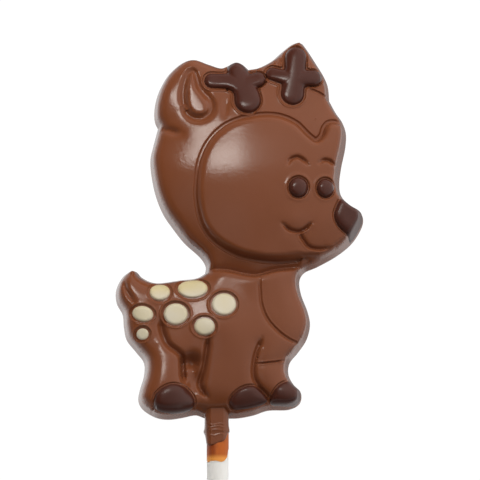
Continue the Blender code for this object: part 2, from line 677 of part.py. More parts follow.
def pockets(figure):
    """Name, colour, height of the pocket's floor, and the outlines at a growth, for each inlay."""
    for name, centre, radii, turn, _, colour in ROUND_INLAYS:
        count = max(14, round(math.pi * (radii[0] + radii[1]) / INLAY_STEP))
        floor = figure.relief(ellipse(centre, radii, turn, count)).min() - POCKET_DEPTH
        yield name, colour, floor, partial(round_outlines, centre, radii, turn, count)
    for name, outline, _, floor in EDGE_INLAYS:
        path = smooth_path(outline, INLAY_STEP, closed=True)
        yield name, "dark", floor, partial(edge_outlines, path)
    for name, limbs in ANTLERS:
        paths = [smooth_path(limb, LIMB_STEP) for limb in limbs]
        yield name, "dark", ANTLER_POCKET_FLOOR, partial(limb_outlines, paths)


def beside_closed(path, grow):
    """A closed clockwise outline widened by grow."""
    ahead = np.roll(path, -1, axis=0) - np.roll(path, 1, axis=0)
    ahead /= np.linalg.norm(ahead, axis=1)[:, None]
    return path - grow * np.stack([ahead[:, 1], -ahead[:, 0]], axis=1)


def cutter_from(name, outlines, low, cutters):
    """One cutter over a union of outlines, reaching up through the relief."""
    first, *others = [prism(outline, low, CUTTER_TOP) for outline in outlines]
    cutter = add_object(name, first, cutters)
    for number, other in enumerate(others):
        limb = add_object(f"{name} limb {number}", other, cutters)
        apply_boolean(cutter, limb, "UNION")
        bpy.data.objects.remove(limb)
    hide(cutter)
    return cutter


def cut_inlays(figure, body, parts, cutters, surfaces):
    """Casts each inlay out of the same relief as the figure and cuts its pocket."""
    blank = body.data.copy()
    for name, colour, floor, outlines in pockets(figure):
        piece = bpy.data.objects.new(name, blank.copy())
        parts.objects.link(piece)
        inner = cutter_from(f"{name} form", outlines(-GAP / 2), floor + GAP, cutters)
        outer = cutter_from(f"{name} pocket", outlines(GAP / 2), floor, cutters)
        apply_boolean(piece, inner, "INTERSECT")
        apply_boolean(body, outer, "DIFFERENCE")
        piece.data.materials.clear()
        piece.data.materials.append(surfaces[colour])


def shade(parts):
    """Smooth shading with the sharp rims kept."""
    for piece in parts.objects:
        piece.data.shade_smooth()
        piece.data.set_sharp_from_angle(angle=math.radians(40))


def main():
    for old in list(bpy.data.objects):
        bpy.data.objects.remove(old)
    scene = bpy.context.scene
    parts = bpy.data.collections.new("Chocolate fawn lollipop")
    cutters = bpy.data.collections.new("Cutters")
    scene.collection.children.link(parts)
    scene.collection.children.link(cutters)
    surfaces = {kind: material(kind) for kind in SURFACES}

    figure = Figure()
    body = add_object("figure", relief_blank(figure), parts, surfaces["milk"])
    add_collar(body, cutters)
    cut_inlays(figure, body, parts, cutters, surfaces)
    bore = stick_cylinder("stick bore", STICK_RADIUS + GAP, BORE_START, STICK_INSIDE + GAP, cutters)
    hide(bore)
    apply_boolean(body, bore, "DIFFERENCE")
    make_stick(parts, surfaces["paper"])
    shade(parts)


main()
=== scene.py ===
"""Looks of a moulded milk chocolate fawn with dark and white chocolate inlays on a paper stick.

Same frame as the solids: +X to the figure's right, +Y from the stick to the antlers, +Z out of the
relief. Shapes are worked out in millimetres, and MM turns them into metres.
"""

import math
from functools import cache, partial

import bmesh
import bpy
import numpy as np
from mathutils import Matrix, Vector


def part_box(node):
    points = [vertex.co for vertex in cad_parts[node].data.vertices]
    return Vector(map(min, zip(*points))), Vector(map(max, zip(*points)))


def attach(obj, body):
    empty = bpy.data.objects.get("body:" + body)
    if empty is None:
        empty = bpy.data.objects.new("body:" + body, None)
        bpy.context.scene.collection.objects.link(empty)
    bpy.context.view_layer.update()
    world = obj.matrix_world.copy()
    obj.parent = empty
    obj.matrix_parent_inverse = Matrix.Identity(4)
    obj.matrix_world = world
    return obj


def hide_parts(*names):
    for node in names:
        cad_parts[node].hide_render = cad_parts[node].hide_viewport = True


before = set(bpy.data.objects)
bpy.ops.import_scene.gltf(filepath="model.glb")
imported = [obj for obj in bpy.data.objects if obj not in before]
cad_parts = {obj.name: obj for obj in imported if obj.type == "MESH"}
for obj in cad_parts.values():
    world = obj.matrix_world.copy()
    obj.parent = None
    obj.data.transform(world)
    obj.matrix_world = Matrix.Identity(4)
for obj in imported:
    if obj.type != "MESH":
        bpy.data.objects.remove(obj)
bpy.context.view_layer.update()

bl_info = {
    "name": "Chocolate fawn lollipop",
    "version": (1, 0, 0),
    "blender": (4, 5, 0),
    "location": "3D View > Sidebar > Chocolate",
    "description": "Builds a moulded chocolate fawn on a paper stick, piece by piece",
    "category": "Object",
}

MM = 0.001


def linear(code):
    """The linear colour of an sRGB hex value."""
    shares = [int(code[i : i + 2], 16) / 255 for i in (1, 3, 5)]
    return tuple(s / 12.92 if s <= 0.04045 else ((s + 0.055) / 1.055) ** 2.4 for s in shares)


# The outer edge of the flat back, clockwise. A stretch marked True starts at a sharp notch or tip.
EDGE = (
    (True, "back of the head", ((-3.0, 32.6), (-2.9, 34.3), (-4.3, 36.5), (-7.8, 39.7), (-10.5, 43.1),
        (-12.9, 46.7), (-14.6, 51.0), (-15.6, 55.7), (-15.85, 59.5), (-15.2, 62.6))),
    (True, "ear", ((-14.1, 66.8), (-14.8, 68.3), (-15.0, 70.5), (-14.6, 73.4), (-13.6, 76.3),
        (-11.6, 79.7), (-8.4, 82.5), (-5.4, 83.2), (-2.3, 82.2), (0.6, 81.3))),
    (False, "prong of the left antler", ((2.2, 81.8), (4.2, 82.5), (6.0, 81.9))),
    (True, "slope to the right ear", ((7.1, 80.9), (9.6, 81.4), (12.6, 83.0), (15.0, 85.1), (17.3, 86.9))),
    (True, "right ear", ((19.4, 87.6), (20.9, 85.6), (23.0, 82.3), (24.8, 79.3), (25.8, 76.7))),
    (True, "forehead", ((26.1, 73.4), (27.6, 70.6), (29.1, 68.4), (30.0, 65.6), (29.8, 62.1),
        (28.9, 57.8), (28.4, 53.9))),
    (False, "muzzle and chin", ((28.8, 51.0), (30.9, 48.6), (33.2, 47.1), (33.95, 45.3), (33.4, 43.0),
        (31.2, 39.6), (27.7, 36.7), (23.3, 34.2))),
    (False, "throat and chest", ((20.2, 32.8), (19.0, 30.8), (19.4, 27.6), (20.9, 23.6), (21.45, 20.4),
        (20.6, 17.0), (18.6, 14.0))),
    (False, "front legs", ((16.7, 11.6), (16.4, 9.0), (17.5, 6.7), (19.3, 4.7), (19.0, 2.1),
        (16.4, 0.7), (11.7, 0.5), (8.3, -0.6), (5.0, -1.25))),
    (False, "below the belly", ((2.6, -1.35), (-0.2, -1.3), (-2.9, -1.3), (-5.2, -0.6))),
    (False, "hind leg", ((-8.6, -1.25), (-11.6, -1.6), (-14.5, -1.1), (-17.4, 0.7), (-18.5, 2.8),
        (-18.1, 5.4), (-17.2, 8.6), (-17.2, 11.6), (-19.0, 14.1), (-21.2, 16.9), (-21.9, 19.9))),
    (False, "tail", ((-22.2, 22.9), (-23.6, 25.6), (-23.75, 28.6), (-22.4, 31.5), (-20.4, 33.1),
        (-19.0, 33.0), (-17.8, 31.7))),
    (False, "back", ((-15.6, 30.6), (-13.2, 30.4), (-9.0, 31.0), (-5.0, 31.5))),
)

# Smooth lines: points worked out from one given point to the next, and the spacing that is then
# kept on the figure's edge, borders of the pillows, outlines and creases, fine lines, antlers, and
# the sleeve's outline; and the softness of the distance to the borders, squared
SPAN_POINTS = 24
EDGE_STEP = 0.5
BORDER_STEP = 0.7
OUTLINE_STEP = 0.4
LINE_STEP = 0.3
LIMB_STEP = 0.25
SLEEVE_LINE_STEP = 0.2
BORDER_SOFTNESS = 0.05

# Side wall of the mould: foot, steep part as a share of the relief, its lean, and the reach of the
# rounding above it at two places across the figure
WALL_FOOT = 0.3
WALL_SHARE = 0.68
WALL_LEAN = 0.7
WALL_RINGS = 9
EDGE_ROUNDING = ((-10.0, 22.0), (2.2, 0.9))

# The body is a pillow: height at its border, rise and reach. It tilts about its middle and is
# higher towards the stick.
BODY_LEVEL = (7.1, 1.9, 6.0)
BODY_TILT = 0.05
BODY_MIDDLE = 18.0

# The head rises from the outline towards the face: height at its border, steady slope, the height
# and reach of the rounder part next to the border, and its fall above and below its middle
HOOD_BASE = 7.0
HOOD_SLOPE = 0.19
HOOD_RISE = 1.2
HOOD_REACH = 4.0
HOOD_FALL = 1.6
HOOD_FALL_REACH = 18.0
HOOD_MIDDLE = 50.0

# The face is a low dome: centre, height, falls per square millimetre to the left, right, top and
# bottom, how far its border lies under the head, and the reach of its rounded rim
FACE_CENTRE = (11.0, 52.0)
FACE_HEIGHT = 12.3
FACE_FALL_LEFT = 0.0080
FACE_FALL_RIGHT = 0.0055
FACE_FALL_TOP = 0.0068
FACE_FALL_BOTTOM = 0.0075
FACE_RIM_START = 0.8
FACE_RIM_DROP = 0.2
FACE_RIM_REACH = 1.3
NECK_BLEND = 1.2

# The groove round the face: heights against the head at distances inside the border, where the
# face takes over, how softly and with which overlap, and the thin lip on the face's side (place,
# height, width). It is cut only where the border is a drawn line: reach and softness of that.
FACE_GROOVE = ((-0.2, 0.0), (-0.12, -0.05), (0.02, -0.38), (0.2, -0.5), (0.6, -0.5))
FACE_STARTS = 0.65
FACE_BLEND = 0.16
FACE_OVERLAP = 1.0
FACE_LIP = (0.88, 0.08, 0.075)
FACE_LINE_REACH = 0.8
FACE_LINE_BLEND = 0.4

# The two drawn lines that part the face from the head; the figure's edge closes the face
FACE_LINES = (
    ("round to the brow", ((18.4, 34.5), (14.0, 34.0), (9.0, 34.3), (4.0, 35.6), (-1.0, 38.6), (-4.1, 42.7),
        (-5.4, 48.0), (-5.45, 53.0), (-4.6, 58.4), (-2.4, 62.9), (1.0, 66.3), (5.0, 68.2), (10.0, 69.2),
        (14.5, 69.0), (18.5, 67.3), (21.2, 64.7), (22.8, 63.4))),
    ("right of the brow", ((22.8, 63.4), (23.6, 64.4), (24.2, 66.2), (25.4, 67.6), (27.4, 67.9),
        (29.6, 67.2))),
)

# Creases part the pillows: name, depth, half-width, half-width of a flat floor (0 for a round
# crease), depth of the soft valley round it, smooth line. A crease fades out over its last stretch,
# down to a share of its depth. A flat floor has steep walls and a thin lip, whose place is given in
# widths of the wall.
CREASE_FADE = 2.0
CREASE_END = 0.25
CREASE_REACH = 3
VALLEY_WIDTH = 1.5
FLOOR_WALL = 0.16
LIP_PLACE = 1.5
LIP_HEIGHT = 0.07
LIP_WIDTH = 0.13
CREASES = (
    ("neck", 0.45, 0.9, 0.0, 0.0, ((-3.2, 32.3), (-0.5, 32.5), (2.5, 32.3), (6.0, 31.5), (9.0, 31.2),
        (13.5, 32.4), (18.6, 33.0))),
    ("haunch", 1.3, 0.7, 0.0, 0.1, ((-13.2, 21.0), (-12.9, 18.4), (-11.6, 15.2), (-9.2, 13.2), (-8.1, 11.6),
        (-7.9, 8.4), (-7.7, 6.2))),
)

# Lines drawn into the surface without parting it, in the same form; a negative depth is a ridge
LINES = (
    ("belly and near front leg", 1.5, 0.6, 0.0, 0.2, ((-2.2, 16.6), (-2.7, 12.8), (-3.3, 9.4), (-4.2, 6.2),
        (-3.5, 4.2), (-2.4, 3.0))),
    ("near side of the far hind leg", 0.9, 0.45, 0.0, 0.3, ((-8.2, 12.4), (-8.0, 9.5), (-7.7, 6.6))),
    ("ridge of the haunch", -0.1, 0.9, 0.0, 0.3, ((-14.2, 25.6), (-14.0, 22.0), (-13.6, 18.5),
        (-13.4, 15.5))),
    ("between the front legs", 0.9, 0.5, 0.0, 0.4, ((10.2, 16.4), (9.0, 13.6), (8.3, 10.6), (8.3, 7.6),
        (9.4, 5.5), (11.6, 3.2), (12.0, 1.6))),
    ("foot of the belly", 1.2, 0.7, 0.0, 0.2, ((-5.0, 0.9), (-2.8, 0.2), (0.0, 0.0), (2.8, 0.5))),
    ("bib", 0.45, 0.45, 0.0, 0.15, ((9.7, 30.4), (9.8, 27.4), (10.1, 24.4), (11.4, 21.0), (14.0, 18.0),
        (16.6, 16.2), (19.4, 15.0))),
    ("lip of the bib", -0.16, 0.18, 0.0, 0.0, ((10.2, 30.0), (10.25, 27.4), (10.55, 24.6), (11.8, 21.3),
        (14.25, 18.45), (16.7, 16.7), (19.4, 15.5))),
    ("fold of the knee", 0.5, 0.32, 0.1, 0.3, ((8.7, 10.5), (10.6, 10.7), (13.0, 11.0), (15.4, 11.4))),
    ("inside of the tail", 0.8, 0.6, 0.0, 0.0, ((-21.8, 30.2), (-21.2, 28.0), (-20.2, 26.2),
        (-19.4, 25.0))),
    ("foot of the ear", 0.8, 0.9, 0.0, 0.0, ((-14.2, 66.2), (-11.6, 65.4), (-8.6, 64.4))),
    ("fold round the ear's bowl", 0.75, 0.78, 0.0, 0.0, ((-7.5, 70.0), (-8.0, 72.0), (-8.1, 74.2),
        (-7.8, 76.3), (-7.2, 78.0), (-6.5, 79.0), (-5.8, 79.3), (-5.3, 78.8), (-5.0, 77.7), (-4.7, 76.5),
        (-4.2, 75.3), (-3.3, 74.1), (-2.2, 73.0), (-1.5, 71.7), (-1.4, 70.2), (-2.2, 68.8), (-3.6, 68.0),
        (-5.2, 68.0), (-6.7, 68.8), (-7.5, 69.9), (-7.9, 71.3))),
    ("rim of the ear", -0.12, 0.45, 0.0, 0.3, ((-8.6, 78.6), (-8.0, 79.5), (-6.8, 80.4), (-5.4, 80.3),
        (-4.5, 79.0), (-4.1, 77.0), (-2.9, 75.6))),
    ("tip of the ear's mound", 0.12, 0.2, 0.0, 0.0, ((-5.9, 77.0), (-5.7, 75.8), (-5.2, 74.6),
        (-4.6, 73.8))),
    ("ear against the antler", 0.3, 0.8, 0.0, 0.0, ((2.0, 72.8), (1.9, 70.6), (1.5, 68.4))),
    ("forehead tuft", 0.5, 0.4, 0.12, 0.0, ((20.9, 75.3), (23.4, 74.5), (26.0, 73.0))),
    ("left brow", 0.9, 0.42, 0.0, 0.0, ((16.3, 56.8), (16.9, 57.9), (18.3, 58.4), (19.7, 57.8),
        (20.9, 56.6))),
    ("right brow", 0.9, 0.42, 0.0, 0.0, ((23.5, 57.0), (24.4, 57.7), (25.6, 57.7), (26.8, 56.9),
        (27.7, 56.1))),
    ("smile", 0.95, 0.42, 0.0, 0.2, ((14.9, 42.8), (16.6, 41.5), (18.5, 41.1), (20.2, 41.7), (21.7, 43.1))),
    ("lower lip", 0.9, 0.42, 0.0, 0.2, ((18.9, 41.0), (19.4, 39.7), (21.0, 37.7), (23.4, 37.2),
        (26.2, 37.6))),
    ("lip below the smile", -0.25, 0.22, 0.0, 0.0, ((17.2, 40.7), (18.9, 40.55), (20.5, 41.2),
        (22.0, 42.7))),
    ("lip outside the mouth", -0.16, 0.22, 0.0, 0.0, ((18.4, 40.5), (18.9, 39.3), (20.7, 37.2),
        (23.3, 36.6), (25.6, 36.9))),
)

# Raised areas: name, closed smooth outline, rise, reach of the slope inside the outline
AREAS = (
    ("mound in the ear", ((-6.1, 78.6), (-5.2, 77.6), (-4.8, 75.8), (-3.9, 74.2), (-2.9, 72.7),
        (-2.3, 71.0), (-2.2, 69.6), (-3.4, 68.6), (-5.0, 68.6), (-6.3, 69.2), (-7.2, 70.9), (-7.6, 72.9),
        (-7.4, 75.1), (-6.9, 77.0)), 0.4, 0.75),
)

# Hollows and swellings: name, centre, radii, height
SWELLINGS = (
    ("recess before the far hind leg", (-6.1, 11.2), (1.9, 1.6), -2.4),
    ("far hind leg", (-5.8, 7.2), (2.1, 4.4), -2.6),
    ("shank of the hind leg", (-12.0, 4.5), (6.0, 9.0), 0.9),
    ("shoulder", (6.0, 16.0), (10.0, 11.0), 0.8),
    ("flank between the spots", (0.5, 20.0), (6.0, 6.0), 0.9),
    ("chest below the neck", (9.5, 31.5), (5.0, 5.0), 0.5),
    ("mound in the ear", (-6.0, 81.0), (3.0, 6.5), 0.9),
    ("side of the ear", (-13.2, 76.5), (4.0, 7.0), 0.62),
    ("hood beside the left antler", (5.0, 71.0), (6.0, 5.0), 0.4),
    ("fall to the hooves", (6.0, -4.0), (13.0, 11.0), -1.3),
    ("hollow above the collar", (-1.5, 0.5), (4.5, 3.5), -1.2),
    ("cheek", (17.2, 44.0), (3.2, 2.4), 0.25),
    ("muzzle", (26.5, 43.5), (4.5, 4.0), 0.35),
)

# Burst bubbles and pinholes: place, radius, height of the thin rim, depth of the hole
BUBBLE_RIM = 0.14
BUBBLE_WALL = 0.2
BUBBLES = (
    ((9.2, 11.9), 0.28, 0.03, 0.4),
    ((2.2, 74.8), 0.45, 0.1, 0.5),
    ((9.9, 74.9), 0.25, 0.05, 0.2),
    ((22.6, 67.9), 0.22, 0.04, 0.15),
    ((-6.9, 20.9), 0.2, 0.03, 0.2),
    ((20.95, 56.75), 0.22, 0.1, 0.1),
    ((21.75, 43.2), 0.18, 0.1, 0.0),
    ((13.6, 82.0), 0.6, 0.16, 0.1),
    ((14.6, 80.9), 0.3, 0.1, 0.1),
    ((8.2, 79.4), 0.3, 0.12, -0.1),
    ((9.6, 79.5), 0.35, 0.12, -0.12),
    ((10.9, 79.4), 0.3, 0.1, 0.1),
    ((11.2, 77.2), 0.5, 0.0, -0.3),
    ((20.9, 81.2), 0.35, 0.1, -0.15),
    ((21.7, 80.3), 0.3, 0.1, 0.15),
    ((18.9, 86.2), 0.35, 0.08, 0.1),
    ((-15.0, 0.2), 0.5, 0.05, 0.9),
    ((-14.4, 0.5), 0.4, 0.05, 0.8),
)

# Round inlays: name, centre, radii, turn in degrees, dome, height of the thin ring round the moat
SPOTS = (
    ("spot_rump", (-13.4, 27.3), (2.3, 1.95), 0.0, 0.02, 0.03),
    ("spot_back", (-5.8, 28.1), (3.4, 2.2), 0.0, 0.05, 0.08),
    ("spot_shoulder", (1.45, 24.3), (2.8, 2.6), 0.0, 0.05, 0.15),
    ("spot_flank", (-9.7, 22.1), (2.75, 2.5), 0.0, 0.05, 0.17),
    ("spot_belly", (-3.05, 19.1), (2.35, 2.0), -8.0, 0.05, 0.16),
    ("spot_thigh", (-17.3, 22.2), (2.4, 1.8), -12.0, 0.02, 0.06),
    ("spot_small", (-17.35, 17.5), (1.38, 1.3), 0.0, -0.3, 0.08),
)
EYES = (
    ("eye_left", (18.65, 51.25), (2.2, 2.3), 0.0, 0.75, 0.12),
    ("eye_right", (24.9, 51.15), (1.95, 2.15), 0.0, 0.75, 0.1),
)

# Inlays at the figure's edge: name, smooth clockwise outline, dome
NOSE = (
    ("nose", ((33.0, 50.2), (36.4, 46.0), (36.0, 41.0), (31.9, 38.9), (30.1, 40.5), (28.0, 42.4),
        (27.0, 44.5), (27.4, 46.6), (28.9, 49.0)), 0.9),
)
HOOVES = (
    ("hoof_front", ((12.3, 2.9), (13.8, 5.2), (15.8, 6.4), (18.2, 6.6), (21.4, 4.6), (20.6, 1.6),
        (17.4, 1.2), (14.0, 1.2), (12.2, 1.6)), 0.4),
    ("hoof_middle", ((2.7, 2.0), (4.2, 4.0), (6.4, 5.2), (8.6, 5.3), (10.3, 4.0), (11.5, 2.2),
        (9.4, 1.0), (6.0, 0.3), (3.4, 0.3)), 0.4),
    ("hoof_hind", ((-14.7, 1.2), (-14.2, 3.4), (-12.2, 5.1), (-9.9, 5.7), (-7.3, 4.9), (-5.5, 2.6),
        (-5.8, 0.6), (-8.5, -0.5), (-11.8, -0.6), (-14.0, 0.0)), 0.45),
)

# Antlers: limbs of round chocolate, each a path of (x, y, half-width); their dome, their rise per
# millimetre to the right and up, the thin ring round them, the softness of their forks (in
# millimetres for the outline, in shares of the half-width for the dome), and the depth far outside
ANTLERS = (
    ("antler_left", (
        ((-1.4, 77.1, 1.85), (2.6, 76.9, 1.9), (5.3, 75.6, 2.2), (6.6, 73.8, 2.75), (6.9, 72.2, 3.05)),
        ((4.4, 79.9, 2.25), (5.4, 77.4, 2.25), (6.3, 74.5, 2.4)),
        ((9.3, 77.4, 1.75), (7.2, 76.6, 1.8), (6.4, 74.5, 2.0)),
    )),
    ("antler_right", (
        ((18.1, 82.7, 2.5), (17.9, 78.6, 2.45), (17.3, 73.9, 2.75)),
        ((12.7, 78.8, 1.65), (16.0, 77.7, 1.75)),
        ((22.3, 77.8, 1.85), (19.5, 77.7, 1.9)),
    )),
)
ANTLER_DOME = 1.05
ANTLER_TILT = (0.08, 0.055)
ANTLER_RING = 0.2
FORK_SOFTNESS = 0.25
SHARE_SOFTNESS = 0.12
OUTSIDE = -8.0

# Inlays by kind: flatness of the dome's top, height of the low crown over the whole inlay, and moat
# (depth, width, width of its wall, width of the thin ring outside it)
CREST_FLATNESS = {"round": 2.0, "eye": 2.0, "edge": 2.0, "limb": 2.8}
CROWNS = {"round": 0.05, "eye": 0.3, "edge": 0.3, "limb": 0.0}
MOATS = {
    "round": (0.5, 0.5, 0.2, 0.2),
    "eye": (0.45, 0.3, 0.2, 0.36),
    "edge": (0.4, 0.35, 0.2, 0.14),
    "limb": (0.35, 0.3, 0.2, 0.2),
}

# Reach of the crown and of the domes of round and edge inlays; how far an inlay's rim dips and
# where it rises; how far a moat is felt; the pocket below an inlay, and the inlay's skirt in it
CROWN_REACH = 2.6
ROUND_REACH = 0.7
EDGE_REACH = 2.2
RIM_DIP = 0.1
RIM_START = 0.05
RIM_REACH = 0.7
MOAT_REACH = 3.0
POCKET_DEPTH = 1.0
POCKET_INSET = 0.35
POCKET_WALL = 0.3
SKIRT = 0.9
SKIRT_RINGS = 3
INLAY_MARGIN = 0.4
INLAY_OVERLAP = 0.12

# Sleeve of chocolate on the stick, as an outline seen from above; its radius, flat top and lean
# across; its lower lip (place, reach, drop), rounded rim (drop, reach), least round side (squared)
# and underside; its mesh; and the ridges across it: place, height, width, wave and phase, with
# their waves per millimetre, middle and half-length
SLEEVE = ((-3.0, 2.5), (-3.1, 0.0), (-3.05, -2.0), (-3.1, -3.8), (-3.3, -4.8), (-3.0, -5.4), (-2.75, -6.6),
    (-2.6, -7.5), (-2.2, -7.9), (-1.25, -7.95), (-0.3, -7.7), (0.6, -7.3), (1.3, -7.0), (1.9, -6.3),
    (2.3, -5.2), (2.75, -4.65), (2.6, -3.5), (2.55, -2.0), (2.65, 0.0), (2.9, 2.5))
SLEEVE_RADIUS = 3.2
SLEEVE_FLAT = 6.35
SLEEVE_LEAN = 0.04
SLEEVE_LIP = (-5.3, 0.9, 0.15)
SLEEVE_RIM = (0.3, 0.45)
SLEEVE_SIDE = 0.6
SLEEVE_UNDER = 1.2
SLEEVE_STEP = 0.12
SLEEVE_INSET = 0.02
SLEEVE_RINGS = 8
RIDGE_WAVES = 1.9
RIDGE_MIDDLE = -0.4
RIDGE_LENGTH = 2.3
SLEEVE_RIDGES = (
    (-3.2, 0.13, 0.13, 0.12, 0.4),
    (-3.75, 0.11, 0.12, 0.16, 1.6),
    (-4.5, 0.06, 0.16, 0.1, 2.4),
    (-5.6, 0.08, 0.2, 0.2, 0.2),
)

# Stick and the amber film round it below the sleeve: segments, the stick's rounded end; the film's
# span, thickness, how much shorter it is at the back, inset of its end, and its lower edge seen
# from above
STICK_SEGMENTS = 72
STICK_ROUNDING = 0.25
STAIN_SEGMENTS = 96
STAIN_SPAN = (-3.5, -11.6)
STAIN_THICKNESS = 0.05
STAIN_BACK = 0.5
STAIN_INSET = 0.12
STAIN_EDGE = ((-2.5, -11.4), (-2.3, -11.9), (-1.5, -11.6), (-0.3, -11.6), (0.8, -11.9), (1.55, -11.6),
    (2.2, -10.7), (2.45, -8.8))

# Fine mesh: the bands beside a line, and the one beside the outline, in which the squares are
# halved; how far from a line that is looked for; how far inside the outline the squares are cut, as
# a share of a square; the step over which a slope is measured, the least slope and the rounds used
# to fit the rim and to ease the squares beside it; and the distance within which points are merged
FINE_BANDS = (1.15, 0.6)
EDGE_BAND = 1.1
FACE_LINE_SEARCH = 2.5
LINE_SEARCH = 2.0
FAR = 9.0
CUT_SHARE = 0.4
SLOPE_STEP = 0.04
LEAST_SLOPE = 0.2
ROUNDS = 3
MERGE_WITHIN = 0.004

# Chocolate: size in millimetres of the clouds of cocoa butter and the band of the pattern that
# shows; of the waves from the mould; and of the grain, which is too fine to show and is drawn at
# 0.7; the grain's bump; how far the roughness varies; and where the figure's colour ages, with the
# share of the clouds' colour that it gets there
CLOUD_SIZE = 9.0
CLOUD_BAND = (0.35, 0.7)
WAVE_SIZE = 3.5
GRAIN_SIZE = 0.7
GRAIN_BUMP = 0.012
ROUGH_SPREAD = (0.04, 0.05)
AGED_SHARE = 0.6
AGED_SPAN = (26.0, 28.5)

# Paper and amber film: size of the fibres and streaks in millimetres, and the share by which they
# are drawn out along the stick; how far light goes into the paper; the film turns from deep to
# amber across it, swaying with its streaks, and golden at its lower edge
FIBRE_SIZE = 0.25
FIBRE_STRETCH = 0.15
STREAK_SIZE = 1.3
STREAK_STRETCH = 0.25
STREAK_SWAY = 7.0
PAPER_DEPTH = 1.2
AMBER_SPAN = (1.0, 4.5)
GOLDEN_SPAN = (-9.9, -11.2)

# Lamps: name, direction from the figure, distance and size in metres, radiance, how the strength
# falls across the width as places and shares, and whether the chocolate mirrors it. The key fades
# along its other side: start and end of that, and the share at the end.
LIT_POINT = (5.0, 50.0, 10.0)
LAMPS = (
    ("key_soft_box", (-0.10, 0.375, 0.9), 0.6, (0.40, 0.14), 10.5,
        ((0.0, 0.9), (0.33, 1.0), (0.41, 0.45), (0.5, 0.2), (0.6, 0.1), (0.75, 0.03), (1.0, 0.0)), True),
    ("top_fill", (0.2, 0.65, 0.7), 0.45, (0.4, 0.3), 3.4, (), False),
    ("left_fill", (-0.85, 0.4, 0.3), 0.45, (0.3, 0.3), 0.9, (), False),
)
LAMP_TINT = (1.0, 0.97, 0.91)
KEY_FADE = (0.5, 1.0, 0.25)

# Glows of the room, added up. Each is a product of falls: direction, where the fall starts and ends
# as a share of that direction, and the strengths at its start and end. What comes from below the
# horizon is the pale table and the low walls as the chocolate's steep sides mirror them.
UP = (0.0, 0.0, 1.0)
AHEAD = (0.0, 1.0, 0.0)
ROOM_GLOWS = (
    ("right half of the room", "LINEAR", (((0.8, 0.3, 0.4), -0.15, 1.0, 0.0, 0.72),)),
    ("horizon", "SMOOTHSTEP", ((UP, 0.45, 0.15, 0.0, 0.22), (UP, -0.4, -0.1, 0.0, 1.0))),
    ("low wall on the left", "SMOOTHSTEP",
        ((UP, -0.1, -0.45, 0.0, 1.0), ((-0.98, 0.2, 0.0), 0.1, 1.0, 0.0, 1.3))),
    ("table, dimmer towards the viewer, the back and the right", "SMOOTHSTEP",
        ((UP, -0.45, -0.85, 0.0, 0.75), (AHEAD, -0.38, -0.26, 0.3, 1.0), (AHEAD, 0.2, 0.5, 1.0, 0.15),
        ((0.255, 0.139, -0.957), 0.955, 0.985, 1.0, 0.4))),
    ("soft patch overhead, left", "SMOOTHSTEP", (((-0.34, -0.1, 0.94), 0.955, 0.998, 0.0, 0.3),)),
)

# Table: radius in metres, how far it lies below the figure, and the size of the clouds in its grey
# and their range. View: the point of the table that it looks at, in millimetres, and the width of
# the camera's sensor.
TABLE_RADIUS = 2.5
TABLE_GAP = 0.02
TABLE_CLOUD_SIZE = 50.0
TABLE_GREYS = (0.04, 0.06)
VIEW_AIM = (5.15, 40.6)
SENSOR_WIDTH = 36.0


def smooth_path(points, step, closed=False):
    """A polyline of nearly even steps on the smooth curve through the points."""
    knots = np.array(points, float)
    if closed:
        knots = np.vstack([knots[-1], knots, knots[0], knots[1]])
    else:
        knots = np.vstack([2 * knots[0] - knots[1], knots, 2 * knots[-1] - knots[-2]])
    fine = []
    for a, b, c, d in zip(knots[:-3], knots[1:-2], knots[2:-1], knots[3:]):
        t = np.linspace(0, 1, SPAN_POINTS, endpoint=False)[:, None]
        bend = (2 * a - 5 * b + 4 * c - d) * t**2 + (3 * b - a - 3 * c + d) * t**3
        fine.append(0.5 * (2 * b + (c - a) * t + bend))
    fine.append(knots[-2][None])
    fine = np.vstack(fine)
    run = np.concatenate([[0], np.cumsum(np.linalg.norm(np.diff(fine[:, :2], axis=0), axis=1))])
    stops = np.linspace(0, run[-1], max(2, round(run[-1] / step)) + 1)
    path = np.stack([np.interp(stops, run, column) for column in fine.T], axis=1)
    return path[:-1] if closed else path


def outer_edge(step):
    """The closed outline of the figure's flat back."""
    runs = []
    for sharp, _, points in EDGE:
        if sharp:
            runs.append([])
        runs[-1].extend(points)
    for run, following in zip(runs, runs[1:] + runs[:1]):
        run.append(following[0])
    return np.vstack([smooth_path(run, step)[:-1] for run in runs])


def nearest_on(path, points, closed=False):
    """Distance of each point to a polyline, how far along it the nearest point lies, and its length."""
    ends = np.roll(path, -1, axis=0) if closed else path[1:]
    starts = path if closed else path[:-1]
    nearest = np.full(len(points), np.inf)
    run = np.zeros(len(points))
    done = 0.0
    px, py = np.ascontiguousarray(points[:, 0]), np.ascontiguousarray(points[:, 1])
    for a, b in zip(starts[:, :2], ends[:, :2]):
        along = b - a
        length = math.hypot(*along)
        dx, dy = px - a[0], py - a[1]
        t = np.clip((dx * along[0] + dy * along[1]) / length**2, 0, 1)
        square = (dx - t * along[0]) ** 2 + (dy - t * along[1]) ** 2
        closer = square < nearest
        nearest[closer] = square[closer]
        run[closer] = done + t[closer] * length
        done += length
    return np.sqrt(nearest), run, done


def inside_of(path, points):
    """True for each point that lies inside a closed polyline."""
    inside = np.zeros(len(points), bool)
    px, py = np.ascontiguousarray(points[:, 0]), np.ascontiguousarray(points[:, 1])
    for a, b in zip(path, np.roll(path, -1, axis=0)):
        crosses = (a[1] > py) != (b[1] > py)
        inside ^= crosses & (px < a[0] + (py - a[1]) * (b[0] - a[0]) / (b[1] - a[1] + 1e-12))
    return inside


def depth_inside(path, points):
    """Signed distance to a closed outline, positive inside."""
    return np.where(inside_of(path, points), 1, -1) * nearest_on(path, points, closed=True)[0]


